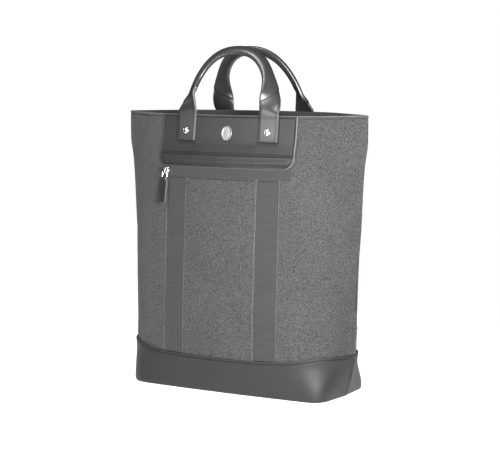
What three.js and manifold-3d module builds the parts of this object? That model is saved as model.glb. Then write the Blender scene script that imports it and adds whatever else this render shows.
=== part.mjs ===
// Convertible backpack: a soft tote with two carry handles in front and behind,
// a leather yoke, base and zip pocket, and two plain shoulder straps on its back.
// Millimetres, +Z up, the front faces -Y, the floor is z = 0.

import * as THREE from 'three';
import { mergeVertices } from 'three/addons/utils/BufferGeometryUtils.js';
import Module from 'manifold-3d';

const wasm = await Module();
wasm.setup();

// Driving sizes of the bag
const bagHeight = 420;
const mouthWidth = 422;
const bagDepth = 165;
const frontRimSag = 2.4;
const backRimRise = 1.6;

// Walls and clearances
const gap = 0.3;
const fabricWall = 2.4;
const leather = 2.2;
const yokeLeather = 1.8;
const facingWall = 1.2;
const webbingWall = 1.4;

// Leather base
const baseHeight = 55;
const baseRise = 10;
const baseRiseFrom = 0.76;
const baseRisePower = 4;
const baseLap = 12;
const floorPanel = 2.6;

// Yoke at the top of the front, with its padded band
const yokeWidth = 236;
const yokeHeight = 81;
const yokeCorner = 17;
const yokeLip = 1.2;
const bandHeight = 14.6;
const bandRise = 3;
const bandInset = 4;
const bandCorner = 10;
const bandLift = 5.4;
const bandEdge = 2.6;
const creaseDepth = 0.9;
const creaseHalf = 1.6;
const creaseAboveBand = 0.8;

// Zip below the yoke
const tapeWidth = 231;
const tapeHeight = 14;
const tapeCorner = 9;
const sliderFromEnd = 16;
const sliderWidth = 5;
const sliderHeight = 11;
const sliderBody = 2.6;
const bridgeHeight = 4.2;
const bridgeHole = 2.4;
const loopWire = 1.6;
const loopWidth = 10.6;
const loopHeight = 15;
const pullWidth = 12;
const pullLength = 38;
const pullLeather = 2.4;
const pullCorner = 3;

// Two vertical webbing strips on the front
const stripWidth = 34;
const stripFromMiddle = 80;

// Handles
const handleSpan = 143;
const handleRise = 94;
const apexFromMiddle = 19.5;
const footWidth = 32;
const footLeather = 4.4;
const footHeight = 41;
const gripWidth = 17;
const gripThickness = 8.2;
const gripTilt = 50;
const archSquareness = 0.9;
const rivetRadius = 5;
const rivetDome = 2.4;
const rivetFromFoot = 14.5;

// Bare badge plate
const badgeWidth = 18;
const badgeHeight = 23;
const badgePlate = 1.6;
const badgeRim = 1.6;
const badgeRimRise = 0.7;
const badgeFromRim = 29.5;

// Facing inside the mouth
const facingHeight = 42;
const facingBelowRim = 0.5;

// Back: plain yoke and shoulder straps
const backYokeHeight = 56;
const strapWidth = 58;
const strapPad = 9;
const strapEnd = 3.2;
const strapBow = 26;
const webbingWidth = 25;
const buckleWidth = 36;
const buckleHeight = 26;
const bucklePlate = 3.6;
const buckleBar = 5;
const buckleCorner = 3;
const tabWidth = 44;
const tabHeight = 34;
const tabLeather = 2.4;

const halfMouth = mouthWidth / 2;
const yokeFoot = bagHeight - yokeHeight;
const tapeFoot = yokeFoot - tapeHeight;
const rivetHeight = bagHeight - footHeight + rivetFromFoot;

// One row for each level of the body, all lengths as shares:
// height of bagHeight, depths and bows of bagDepth, half width and corner start of half the mouth;
// the wing angle is in degrees
const bodyColumns = ['height', 'front', 'back', 'half', 'wing', 'corner', 'frontBow', 'backBow'];
const bodyTable = [
  [0.0, 0.439, 0.491, 0.822, 86, 0.62, 0.018, 0.018],
  [0.057, 0.47, 0.497, 0.86, 82, 0.59, 0.042, 0.042],
  [0.158, 0.505, 0.497, 0.9, 76, 0.545, 0.067, 0.067],
  [0.286, 0.503, 0.485, 0.919, 68.5, 0.545, 0.067, 0.067],
  [0.405, 0.487, 0.467, 0.927, 63, 0.545, 0.067, 0.067],
  [0.505, 0.473, 0.455, 0.936, 59.5, 0.545, 0.067, 0.067],
  [0.595, 0.461, 0.442, 0.95, 53, 0.545, 0.067, 0.067],
  [0.738, 0.439, 0.427, 0.964, 45.8, 0.545, 0.067, 0.067],
  [0.821, 0.391, 0.409, 0.976, 40.8, 0.545, 0.048, 0.067],
  [0.862, 0.345, 0.394, 0.989, 36.6, 0.545, 0.027, 0.067],
  [0.893, 0.309, 0.379, 0.998, 33.7, 0.545, 0.012, 0.055],
  [0.938, 0.285, 0.354, 1.0, 31.8, 0.545, 0.009, 0.04],
  [1.0, 0.267, 0.348, 1.0, 30.8, 0.545, 0.009, 0.036],
];

const FRONT = -1;
const BACK = 1;

// Plain helpers

function radians(degrees) {
  return degrees * Math.PI / 180;
}

function mix(a, b, t) {
  return a + (b - a) * t;
}

function clamp(value, low, high) {
  return Math.min(Math.max(value, low), high);
}

function smooth(t) {
  const s = clamp(t, 0, 1);
  return s * s * (3 - 2 * s);
}

function range(count) {
  return Array.from({ length: count }, (_, i) => i);
}

// Reads a table at a value of its first column, in straight steps between its rows
function readTable(table, columns, value) {
  const last = table.length - 1;
  let i = 0;
  while (i < last - 1 && value > table[i + 1][0]) {
    i += 1;
  }
  const t = clamp((value - table[i][0]) / (table[i + 1][0] - table[i][0]), 0, 1);
  const row = {};
  columns.forEach((name, k) => {
    row[name] = mix(table[i][k], table[i + 1][k], t);
  });
  return row;
}

// Body surface

// The round corner takes at most this share of the wing
const cornerLimit = 0.92;

// One quarter of the body's outline at a height: a bowed front, a rounded corner
// and a straight wing that ends on the side seam at y = 0
function quarter(side, z) {
  const row = readTable(bodyTable, bodyColumns, z / bagHeight);
  const depth = bagDepth * (side === FRONT ? row.front : row.back);
  const half = halfMouth * row.half;
  const start = halfMouth * row.corner;
  const bow = bagDepth * (side === FRONT ? row.frontBow : row.backBow);
  const slope = 2 * bow / start;
  const rise = Math.tan(radians(row.wing));
  const cornerX = (half * rise - depth + bow - slope * start) / (rise - slope);
  const cornerY = -(half - cornerX) * rise;
  const p0 = new THREE.Vector2(start, bow - depth);
  const p1 = new THREE.Vector2(cornerX, cornerY);
  const seam = new THREE.Vector2(half, 0);
  const wingLength = p1.distanceTo(seam);
  const share = Math.min(p0.distanceTo(p1) / wingLength, cornerLimit);
  const p2 = p1.clone().lerp(seam, share);
  return { side, depth, start, bow, p0, p1, p2, seam, wing: radians(row.wing) };
}

// A point of the quarter with its outward normal, at x from the middle of the front
function quarterAtX(q, x) {
  if (x >= q.p2.x) {
    return bent(x, (x - q.seam.x) * Math.tan(q.wing), Math.cos(q.wing), Math.sin(q.wing));
  }
  if (x <= q.start) {
    const slope = 2 * q.bow * x / (q.start * q.start);
    return bent(x, q.bow * (x / q.start) ** 2 - q.depth, 1, slope);
  }
  const a = q.p0.x - 2 * q.p1.x + q.p2.x;
  const b = 2 * (q.p1.x - q.p0.x);
  const c = q.p0.x - x;
  const t = Math.abs(a) < 1e-9 ? -c / b : (-b + Math.sqrt(b * b - 4 * a * c)) / (2 * a);
  return quarterOnCorner(q, t);
}

function quarterOnCorner(q, t) {
  const ends = [q.p0, q.p1, q.p2];
  const weights = [(1 - t) ** 2, 2 * t * (1 - t), t * t];
  const x = ends.reduce((sum, p, i) => sum + p.x * weights[i], 0);
  const y = ends.reduce((sum, p, i) => sum + p.y * weights[i], 0);
  const dx = mix(q.p1.x - q.p0.x, q.p2.x - q.p1.x, t);
  const dy = mix(q.p1.y - q.p0.y, q.p2.y - q.p1.y, t);
  return bent(x, y, dx, dy);
}

function bent(x, y, dx, dy) {
  const length = Math.hypot(dx, dy);
  return { x, y, nx: dy / length, ny: -dx / length };
}

// A point on the body at x and a height, moved out from the surface by offset
function skinAtX(side, x, z, offset) {
  const q = quarter(side, z);
  const p = quarterAtX(q, Math.abs(x));
  const y = p.y + p.ny * offset;
  return new THREE.Vector3(Math.sign(x) * (Math.abs(x) + p.nx * offset), -side * y, z);
}

// Stations round one half of the body from the front's middle to the side seam
const frontStations = [0, 0.2, 0.4, 0.6, 0.8];
const cornerStations = [0, 0.16, 0.33, 0.5, 0.67, 0.84, 1];
const halfStations = [
  ...frontStations.map((share) => ({ zone: 'front', share })),
  ...cornerStations.map((share) => ({ zone: 'corner', share })),
  { zone: 'seam', share: 1 },
];
const mirrored = halfStations.slice(1).reverse().map((s) => ({ ...s, sign: -1 }));
const roundStations = [...mirrored, ...halfStations.map((s) => ({ ...s, sign: 1 }))];

// A point on the body at a station; at the seam it is mitred to half the seam's gap
function skinAtStation(side, station, z, offset) {
  const q = quarter(side, z);
  if (station.zone === 'seam') {
    const x = q.seam.x + (offset - gap / 2 * Math.cos(q.wing)) / Math.sin(q.wing);
    return new THREE.Vector3(station.sign * x, side * gap / 2, z);
  }
  const p = station.zone === 'front'
    ? quarterAtX(q, q.start * station.share)
    : quarterOnCorner(q, station.share);
  const x = p.x + p.nx * offset;
  return new THREE.Vector3(station.sign * x, -side * (p.y + p.ny * offset), z);
}

// Rim and base edges, by x as a share of half the mouth
function rimAt(side, x) {
  const share = clamp(Math.abs(x) / halfMouth, 0, 1);
  const lift = side === FRONT ? -frontRimSag : backRimRise;
  return bagHeight + lift * (1 - share ** 2);
}

function baseTopAt(x) {
  const share = clamp(Math.abs(x) / (halfMouth * baseRiseFrom), 0, 1);
  return baseHeight + baseRise * share ** baseRisePower;
}

// Solids

// Turns two grids of points, one on each face of a sheet, into one closed solid
function sheetSolid(outer, inner) {
  const rows = outer.length;
  const columns = outer[0].length;
  const points = [...outer.flat(), ...inner.flat()];
  const at = (face, r, c) => face * rows * columns + r * columns + c;
  const faces = [];
  const quad = (a, b, c, d) => faces.push(a, b, c, a, c, d);
  for (const r of range(rows - 1)) {
    for (const c of range(columns - 1)) {
      quad(at(0, r, c), at(0, r, c + 1), at(0, r + 1, c + 1), at(0, r + 1, c));
      quad(at(1, r, c), at(1, r + 1, c), at(1, r + 1, c + 1), at(1, r, c + 1));
    }
  }
  for (const c of range(columns - 1)) {
    quad(at(0, 0, c), at(1, 0, c), at(1, 0, c + 1), at(0, 0, c + 1));
    quad(at(0, rows - 1, c), at(0, rows - 1, c + 1), at(1, rows - 1, c + 1), at(1, rows - 1, c));
  }
  for (const r of range(rows - 1)) {
    quad(at(0, r, 0), at(0, r + 1, 0), at(1, r + 1, 0), at(1, r, 0));
    quad(at(0, r, columns - 1), at(1, r, columns - 1), at(1, r + 1, columns - 1), at(0, r + 1, columns - 1));
  }
  return closedGeometry(points, faces);
}

// Builds a geometry and turns its faces outward
function closedGeometry(points, faces) {
  let volume = 0;
  for (let i = 0; i < faces.length; i += 3) {
    const [a, b, c] = [points[faces[i]], points[faces[i + 1]], points[faces[i + 2]]];
    volume += a.dot(b.clone().cross(c));
  }
  if (volume < 0) {
    for (let i = 0; i < faces.length; i += 3) {
      [faces[i], faces[i + 1]] = [faces[i + 1], faces[i]];
    }
  }
  const geometry = new THREE.BufferGeometry();
  const flat = points.flatMap((p) => [p.x, p.y, p.z]);
  geometry.setAttribute('position', new THREE.Float32BufferAttribute(flat, 3));
  geometry.setIndex(faces);
  geometry.computeVertexNormals();
  return geometry;
}

// Joins a row of closed rings, each with the same number of points, and caps both ends
function ringSolid(rings) {
  const sides = rings[0].length;
  const points = rings.flat();
  const faces = [];
  for (const r of range(rings.length - 1)) {
    for (const i of range(sides)) {
      const a = r * sides + i;
      const b = r * sides + (i + 1) % sides;
      faces.push(a, b, b + sides, a, b + sides, a + sides);
    }
  }
  const top = (rings.length - 1) * sides;
  for (const i of range(sides - 2)) {
    faces.push(0, i + 2, i + 1);
    faces.push(top, top + i + 1, top + i + 2);
  }
  return closedGeometry(points, faces);
}

// A flat or oval ring about a centre; squareness near 0 is a box and 1 is an ellipse
function ring(centre, across, out, width, thickness, sides, squareness) {
  const power = (value) => Math.sign(value) * Math.abs(value) ** squareness;
  return range(sides).map((i) => {
    const angle = 2 * Math.PI * (i + 0.5) / sides;
    return centre.clone()
      .addScaledVector(across, width / 2 * power(Math.cos(angle)))
      .addScaledVector(out, thickness / 2 * power(Math.sin(angle)));
  });
}

function toManifold(geometry) {
  const plain = geometry.clone();
  plain.deleteAttribute('normal');
  plain.deleteAttribute('uv');
  const merged = mergeVertices(plain, 1e-4);
  return new wasm.Manifold(new wasm.Mesh({
    numProp: 3,
    vertProperties: new Float32Array(merged.attributes.position.array),
    triVerts: new Uint32Array(merged.index.array),
  }));
}

function fromManifold(solid) {
  const mesh = solid.getMesh();
  const geometry = new THREE.BufferGeometry();
  geometry.setAttribute('position', new THREE.BufferAttribute(mesh.vertProperties, 3));
  geometry.setIndex(new THREE.BufferAttribute(mesh.triVerts, 1));
  geometry.computeVertexNormals();
  return geometry;
}

// Extrudes a shape drawn in x and z, from y = near to y = near + thickness
function plate(shape, thickness, near, curveSegments = 4) {
  const geometry = new THREE.ExtrudeGeometry(shape, { depth: thickness, bevelEnabled: false, curveSegments });
  geometry.rotateX(Math.PI / 2);
  geometry.translate(0, near + thickness, 0);
  return geometry;
}

function roundedRectangle(width, height, corner) {
  const shape = new THREE.Shape();
  const [w, h] = [width / 2, height / 2];
  shape.moveTo(-w + corner, -h);
  shape.lineTo(w - corner, -h);
  shape.absarc(w - corner, -h + corner, corner, -Math.PI / 2, 0, false);
  shape.lineTo(w, h - corner);
  shape.absarc(w - corner, h - corner, corner, 0, Math.PI / 2, false);
  shape.lineTo(-w + corner, h);
  shape.absarc(-w + corner, h - corner, corner, Math.PI / 2, Math.PI, false);
  shape.lineTo(-w, -h + corner);
  shape.absarc(-w + corner, -h + corner, corner, Math.PI, 1.5 * Math.PI, false);
  return shape;
}

// Materials

function finish(color, roughness, metalness = 0) {
  return new THREE.MeshStandardMaterial({ color, roughness, metalness });
}

const fabric = finish(0x6a6b6c, 0.95);
const baseLeather = finish(0x4c4d4e, 0.5);
const handleLeather = finish(0x454647, 0.45);
const webbing = finish(0x58595a, 0.85);
const nickel = finish(0xc4c4c4, 0.25, 1);
const darkLining = finish(0x2c2c2e, 0.9);
const padCloth = finish(0x3c3d3f, 0.95);
const plastic = finish(0x202122, 0.5);

const bag = new THREE.Group();

function add(name, geometry, material, parent = bag) {
  const mesh = new THREE.Mesh(geometry, material);
  mesh.name = name;
  parent.add(mesh);
  return mesh;
}

// A sheet round the whole front or back half of the body
function halfShell(side, heights, topAt, innerOffset, outerOffset) {
  const face = (offset) => [...heights, null].map((height) => roundStations.map((station) => {
    const middle = skinAtStation(side, station, height ?? heights[heights.length - 1], 0);
    const z = height ?? topAt(middle.x);
    return skinAtStation(side, station, z, typeof offset === 'function' ? offset(z) : offset);
  }));
  return sheetSolid(face(outerOffset), face(innerOffset));
}

// A sheet on the front or back of the body; a height is a level or a function of x
function patch(side, heights, shares, xAt, innerOffset, outerAt) {
  const levelAt = (height, share) => {
    if (typeof height === 'number') {
      return height;
    }
    return height(xAt(share, height(0)));
  };
  const face = (offsetAt) => heights.map((height) => shares.map((share) => {
    const z = levelAt(height, share);
    const x = xAt(share, z);
    return skinAtX(side, x, z, offsetAt(x, z));
  }));
  return sheetSolid(face(outerAt), face(() => innerOffset));
}

// Shares from -1 to 1 made of one half and its mirror image
function bothWays(half) {
  return [...half.slice(1).reverse().map((share) => -share), ...half];
}

// Heights of the body table between two levels, so that sheets share its bends
function tableHeights(low, high) {
  const closest = 1;
  const heights = bodyTable.map((row) => row[0] * bagHeight);
  return heights.filter((z) => z > low + closest && z < high - closest);
}

// Heights in rising order, without those that lie too close above another
function sortedHeights(list) {
  const closest = 0.4;
  const sorted = [...list].sort((a, b) => a - b);
  return sorted.filter((z, i) => i === 0 || z - sorted[i - 1] > closest);
}

// Fabric panels

function fabricPanel(side) {
  const foot = baseHeight - baseLap;
  const heights = [foot, ...tableHeights(foot, bagHeight)];
  return halfShell(side, heights, (x) => rimAt(side, x), -fabricWall, 0);
}

add('front_panel', fabricPanel(FRONT), fabric);
add('back_panel', fabricPanel(BACK), fabric);

// Facing inside the mouth

function mouthFacing(side) {
  const foot = bagHeight - facingHeight;
  const heights = [foot, ...tableHeights(foot, bagHeight)];
  const outer = -fabricWall - 2 * gap;
  return halfShell(side, heights, (x) => rimAt(side, x) - facingBelowRim, outer - facingWall, outer);
}

add('facing_front', mouthFacing(FRONT), darkLining);
add('facing_back', mouthFacing(BACK), darkLining);

// Leather base: two walls that meet at the side seams, and a floor panel

const heelTurn = 6;
const heelInset = 3;
const baseWallOut = gap + leather;

function heelOffset(z) {
  const t = clamp(1 - z / heelTurn, 0, 1);
  return -heelInset * (1 - Math.sqrt(1 - t * t));
}

function baseWall(side) {
  const heel = [0, heelTurn * 0.2, heelTurn * 0.5, heelTurn];
  const heights = [...heel, ...tableHeights(heelTurn, baseHeight), baseHeight - baseLap];
  const outer = (z) => baseWallOut + heelOffset(z);
  const inner = (z) => gap + heelOffset(z);
  return halfShell(side, heights, baseTopAt, inner, outer);
}

add('base_front', baseWall(FRONT), baseLeather);
add('base_back', baseWall(BACK), baseLeather);

function floorOutline(side, offset) {
  return roundStations.map((station) => skinAtStation(side, station, 0, offset));
}

function floorPlate() {
  const front = floorOutline(FRONT, heelOffset(0));
  const back = floorOutline(BACK, heelOffset(0)).reverse();
  const shape = new THREE.Shape([...front, ...back].map((p) => new THREE.Vector2(p.x, p.y)));
  return new THREE.ExtrudeGeometry(shape, { depth: floorPanel, bevelEnabled: false });
}

add('base_floor', floorPlate(), baseLeather);

// Yoke with its padded band

const yokeOut = gap + yokeLeather;
const bandFoot = yokeFoot + bandLift;
const bandTop = bandFoot + bandHeight;
const halfYoke = yokeWidth / 2;

// Half width of a patch whose two lower corners are round
function roundedFoot(half, foot, corner) {
  return (z) => {
    const t = clamp(1 - (z - foot) / corner, 0, 1);
    return half - corner * (1 - Math.sqrt(1 - t * t));
  };
}

// How far the padded band stands out of the yoke at a point
function bandRelief(x, z) {
  const halfBand = halfYoke - bandInset;
  const fromCorner = clamp((bandFoot + bandCorner - z) / bandCorner, 0, 1);
  const halfHere = halfBand - bandCorner * (1 - Math.sqrt(1 - fromCorner ** 2));
  const inside = Math.min(halfHere - Math.abs(x), z - bandFoot, bandTop - z);
  return bandRise * smooth(inside / bandEdge);
}

function yokeSurface(x, z) {
  const crease = creaseDepth * smooth(1 - Math.abs(z - bandTop - creaseAboveBand) / creaseHalf);
  return yokeOut + bandRelief(x, z) - crease;
}

function yoke() {
  const bandLevels = [0, 0.09, 0.18, 0.5, 0.82, 0.93, 1].map((share) => bandFoot + share * bandHeight);
  const heights = sortedHeights([
    yokeFoot, yokeFoot + yokeLip, ...bandLevels,
    bandTop + creaseAboveBand, bandTop + creaseAboveBand + creaseHalf,
    ...tableHeights(bandTop + 2 * creaseHalf, bagHeight),
  ]);
  const shares = bothWays([0, 0.22, 0.44, 0.66, 0.82, 0.9, 0.945, 0.97, 1]);
  const halfAt = roundedFoot(halfYoke, yokeFoot, yokeCorner);
  const levels = [...heights, (x) => rimAt(FRONT, x)];
  return patch(FRONT, levels, shares, (share, z) => share * halfAt(z), gap, yokeSurface);
}

add('yoke', yoke(), baseLeather);

function backYoke() {
  const foot = bagHeight - backYokeHeight;
  const levels = [foot, ...tableHeights(foot, bagHeight), (x) => rimAt(BACK, x)];
  const shares = bothWays([0, 0.25, 0.5, 0.7, 0.82, 0.92, 1]);
  return patch(BACK, levels, shares, (share) => share * halfYoke, gap, () => yokeOut);
}

add('back_yoke', backYoke(), baseLeather);

// Zip tape, slider, loop and pull

const tapeOut = gap + webbingWall;

function zipTape() {
  const top = yokeFoot - gap;
  const heights = [tapeFoot, mix(tapeFoot, top, 0.2), mix(tapeFoot, top, 0.55), top];
  const shares = bothWays([0, 0.2, 0.4, 0.6, 0.8, 0.93, 1]);
  const halfAt = roundedFoot(tapeWidth / 2, tapeFoot, tapeCorner);
  return patch(FRONT, heights, shares, (share, z) => share * halfAt(z), gap, () => tapeOut);
}

add('zip_tape', zipTape(), webbing);

// A frame that stands on the skin: its -Y axis looks out and its Z axis runs up the skin,
// level with the two points that lie halfHeight above and below it
function seat(side, x, z, halfHeight, offset) {
  const upper = skinAtX(side, x, z + halfHeight, offset);
  const lower = skinAtX(side, x, z - halfHeight, offset);
  const beside = skinAtX(side, x + 1, z, offset).sub(skinAtX(side, x - 1, z, offset));
  const up = upper.clone().sub(lower).normalize();
  const inward = up.clone().cross(beside).normalize().multiplyScalar(-side);
  const across = inward.clone().cross(up);
  const group = new THREE.Group();
  group.quaternion.setFromRotationMatrix(new THREE.Matrix4().makeBasis(across, inward, up));
  group.position.copy(upper.add(lower).multiplyScalar(0.5));
  bag.add(group);
  return group;
}

const sliderX = sliderFromEnd - tapeWidth / 2;
const sliderZ = (tapeFoot + yokeFoot) / 2;
const zipSeat = seat(FRONT, sliderX, sliderZ, sliderHeight / 2, tapeOut + gap);

// Turns a shape drawn in outward distance and height into a solid of a width along x
function sideExtrude(shape, width, curveSegments = 6) {
  const geometry = new THREE.ExtrudeGeometry(shape, { depth: width, bevelEnabled: false, curveSegments });
  geometry.rotateX(Math.PI / 2);
  geometry.rotateZ(-Math.PI / 2);
  geometry.translate(width / 2, 0, 0);
  return geometry;
}

// The slider's side view, with the hole under its bridge
function zipSlider() {
  const profile = new THREE.Shape();
  const half = sliderHeight / 2;
  const out = sliderBody + bridgeHeight;
  const nose = sliderHeight * 0.27;
  profile.moveTo(0, -half);
  profile.lineTo(sliderBody, -half);
  profile.lineTo(out, -half + nose);
  profile.lineTo(out, half - nose);
  profile.lineTo(sliderBody, half);
  profile.lineTo(0, half);
  const hole = new THREE.Path();
  const far = sliderBody + bridgeHole;
  const holeHalf = half * 0.5;
  hole.moveTo(sliderBody, -holeHalf);
  hole.lineTo(sliderBody, holeHalf);
  hole.lineTo(far, holeHalf * 0.8);
  hole.lineTo(far, -holeHalf * 0.8);
  profile.holes.push(hole);
  return sideExtrude(profile, sliderWidth);
}

add('zip_slider', zipSlider(), nickel, zipSeat);

// The loop hangs by its top bar in the slider's bridge
const loopNear = -(sliderBody + (bridgeHole + loopWire) / 2);
const loopBottom = loopWire / 2 - loopHeight;

function zipLoop() {
  const shape = roundedRectangle(loopWidth, loopHeight, loopWire);
  const inside = roundedRectangle(loopWidth - 2 * loopWire, loopHeight - 2 * loopWire, loopWire / 2);
  shape.holes.push(new THREE.Path(inside.getPoints(3)));
  const geometry = plate(shape, loopWire, loopNear, 3);
  geometry.translate(0, 0, loopBottom + loopHeight / 2);
  return geometry;
}

add('zip_loop', zipLoop(), nickel, zipSeat);

// The leather pull is folded round the loop's bottom bar
function zipPull() {
  const eyeZ = loopBottom + loopWire / 2;
  const eyeOut = -(loopNear + loopWire / 2);
  const eye = new THREE.Shape();
  const hole = new THREE.Path();
  const holeRadius = loopWire / 2 * Math.SQRT2 + gap;
  const foldWidth = loopWidth - 2 * loopWire - 4 * gap;
  eye.absarc(eyeOut, eyeZ, holeRadius + pullLeather / 2, 0, 2 * Math.PI, false);
  hole.absarc(eyeOut, eyeZ, holeRadius, 0, 2 * Math.PI, true);
  eye.holes.push(hole);
  const outline = roundedRectangle(pullWidth, pullLength, pullCorner);
  const blade = plate(outline, pullLeather, -eyeOut - pullLeather / 2);
  blade.translate(0, 0, eyeZ - holeRadius - pullLength / 2 - gap);
  return fromManifold(toManifold(sideExtrude(eye, foldWidth)).add(toManifold(blade)));
}

add('zip_pull', zipPull(), handleLeather, zipSeat);

// Webbing strips

function webbingStrip(sign) {
  const top = tapeFoot - gap;
  const levels = [(x) => baseTopAt(x) + gap, ...tableHeights(baseHeight + baseRise, top), top];
  const xAt = (share) => sign * stripFromMiddle + share * stripWidth / 2;
  return patch(FRONT, levels, [-1, 0, 1], xAt, gap, () => gap + webbingWall);
}

add('strip_left', webbingStrip(-1), webbing);
add('strip_right', webbingStrip(1), webbing);

// Handles: flat feet on the yoke that twist and fold into a grip above the rim

const gripColumns = ['rise', 'flat', 'turn'];
const gripTable = [
  [-0.5, 1, 0],
  [0.02, 1, 0],
  [0.1, 1, 0.3],
  [0.22, 0.95, 0.7],
  [0.33, 0.78, 1],
  [0.43, 0.5, 1],
  [0.6, 0.1, 1],
  [0.75, 0, 1],
  [1.0, 0, 1],
];
const footShares = [1, 0.68, 0.36, 0.12];
const springShare = footShares[footShares.length - 1];
const archSteps = 28;
const handleSides = 12;
const footSquareness = 0.3;
const halfSpan = handleSpan / 2;

function handlePath(side) {
  const out = yokeOut + gap + footLeather / 2;
  const footPoint = (z, sign) => skinAtX(side, sign * halfSpan, z, out);
  const foot = (sign) => footShares.map((share) => footPoint(bagHeight - share * footHeight, sign));
  const springZ = bagHeight + backRimRise;
  const springY = footPoint(bagHeight - springShare * footHeight, 1).y;
  const springX = footPoint(bagHeight, 1).x;
  const arch = range(archSteps + 1).map((i) => {
    const angle = Math.PI * i / archSteps;
    const c = Math.cos(angle);
    const x = -springX * Math.sign(c) * Math.abs(c) ** archSquareness;
    const rise = Math.sin(angle);
    const z = mix(springZ, bagHeight + handleRise, rise);
    return new THREE.Vector3(x, mix(springY, side * apexFromMiddle, rise), z);
  });
  return [...foot(-1), ...arch, ...foot(1).reverse()];
}

function handle(side) {
  const path = handlePath(side);
  const seatPoint = quarterAtX(quarter(side, rivetHeight), halfSpan);
  const footTilt = Math.atan2(seatPoint.nx, -seatPoint.ny);
  const rings = path.map((centre, i) => {
    const before = path[Math.max(i - 1, 0)];
    const after = path[Math.min(i + 1, path.length - 1)];
    const along = after.clone().sub(before).normalize();
    const face = new THREE.Vector3(0, side, 0);
    face.addScaledVector(along, -face.dot(along)).normalize();
    const outward = face.clone().cross(along).multiplyScalar(-side).normalize();
    const row = readTable(gripTable, gripColumns, (centre.z - bagHeight) / handleRise);
    const tilt = mix(footTilt, radians(gripTilt), row.turn);
    const out = face.clone().multiplyScalar(Math.cos(tilt)).addScaledVector(outward, Math.sin(tilt));
    const across = along.clone().cross(out);
    const width = mix(gripWidth, footWidth, row.flat);
    const thickness = mix(gripThickness, footLeather, row.flat);
    const squareness = mix(1, footSquareness, row.flat);
    return ring(centre, across, out, width, thickness, handleSides, squareness);
  });
  return ringSolid(rings);
}

add('handle_front', handle(FRONT), handleLeather);
add('handle_back', handle(BACK), handleLeather);

// Domed rivets through the handle feet

function rivet() {
  const steps = 4;
  const sides = 14;
  const lip = 0.6;
  const dome = range(steps + 1).map((i) => {
    const angle = Math.PI / 2 * i / steps;
    const radius = i === steps ? 0 : rivetRadius * Math.cos(angle);
    return new THREE.Vector2(radius, lip + (rivetDome - lip) * Math.sin(angle));
  });
  const flat = [new THREE.Vector2(0, 0), new THREE.Vector2(rivetRadius, 0)];
  const geometry = new THREE.LatheGeometry([...flat, ...dome], sides);
  geometry.rotateX(Math.PI);
  return geometry;
}

const footFace = yokeOut + gap + footLeather + gap;
for (const [side, name] of [[FRONT, 'front'], [BACK, 'back']]) {
  for (const [sign, hand] of [[-1, 'left'], [1, 'right']]) {
    const place = seat(side, sign * halfSpan, rivetHeight, rivetRadius, footFace);
    add(`rivet_${name}_${hand}`, rivet(), nickel, place);
  }
}

// Badge plate: a bare oval with a raised rim

function badge() {
  const oval = (inset) => {
    const shape = new THREE.Shape();
    shape.absellipse(0, 0, badgeWidth / 2 - inset, badgeHeight / 2 - inset, 0, 2 * Math.PI, false, 0);
    return shape;
  };
  const rim = oval(0);
  rim.holes.push(new THREE.Path(oval(badgeRim).getPoints(8)));
  const sunk = badgePlate / 8;
  const base = toManifold(plate(oval(0), badgePlate, -badgePlate, 8));
  const raised = toManifold(plate(rim, badgeRimRise + sunk, -badgePlate - badgeRimRise, 8));
  return fromManifold(base.add(raised));
}

const badgeSeat = seat(FRONT, 0, bagHeight - badgeFromRim, badgeHeight / 2, yokeOut + gap);
add('badge_plate', badge(), nickel, badgeSeat);

// Shoulder straps on the back: a padded strap, a ladder buckle, webbing and a corner tab

const strapColumns = ['height', 'spread', 'lift', 'width', 'pad'];
const strapTable = [
  [0.45, 0.417, 0.5, 0.6, 0],
  [0.471, 0.396, 0.58, 0.74, 0.4],
  [0.495, 0.37, 0.7, 0.88, 0.8],
  [0.536, 0.332, 0.86, 0.96, 1],
  [0.583, 0.299, 1, 1, 1],
  [0.643, 0.265, 1, 1, 1],
  [0.714, 0.237, 0.8, 1, 1],
  [0.798, 0.213, 0.4, 1, 1],
  [0.838, 0.2, 0.12, 0.94, 0.6],
  [0.866, 0.2, 0, 0.86, 0],
];
const strapTop = strapTable[strapTable.length - 1][0];

// The direction out of the back at a point of its skin
function backNormal(x, z) {
  return skinAtX(BACK, x, z, 1).sub(skinAtX(BACK, x, z, 0));
}

// Straight steps along a list of stops, each with its own facing, width and thickness
function ribbon(path, sides, squareness) {
  const rings = path.map((stop, i) => {
    const before = path[Math.max(i - 1, 0)].centre;
    const after = path[Math.min(i + 1, path.length - 1)].centre;
    const along = stop.along ?? after.clone().sub(before).normalize();
    const out = stop.out.clone().addScaledVector(along, -stop.out.dot(along)).normalize();
    const across = along.clone().cross(out);
    return ring(stop.centre, across, out, stop.width, stop.thickness, sides, squareness);
  });
  return ringSolid(rings);
}

const strapClear = 2 * gap;

function strapPath(sign) {
  return strapTable.map(([height, spread, lift, width, pad]) => {
    const thickness = mix(strapEnd, strapPad, pad);
    const x = sign * halfMouth * spread;
    const z = height * (bagHeight - backYokeHeight) / strapTop;
    const centre = skinAtX(BACK, x, z - 2 * gap, strapClear + thickness / 2 + lift * strapBow);
    return { centre, out: backNormal(x, z), width: width * strapWidth, thickness };
  });
}

// The buckle lies across the strap's lower end, in line with its last step
function buckleFrame(sign) {
  const path = strapPath(sign);
  const [end, before] = [path[0], path[1]];
  const along = end.centre.clone().sub(before.centre).normalize();
  const out = end.out.clone().addScaledVector(along, -end.out.dot(along)).normalize();
  const inward = out.clone().negate();
  const up = along.clone().negate();
  const across = inward.clone().cross(up);
  const group = new THREE.Group();
  group.quaternion.setFromRotationMatrix(new THREE.Matrix4().makeBasis(across, inward, up));
  group.position.copy(end.centre).addScaledVector(along, gap + buckleHeight / 2);
  bag.add(group);
  return { group, along, out };
}

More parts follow.
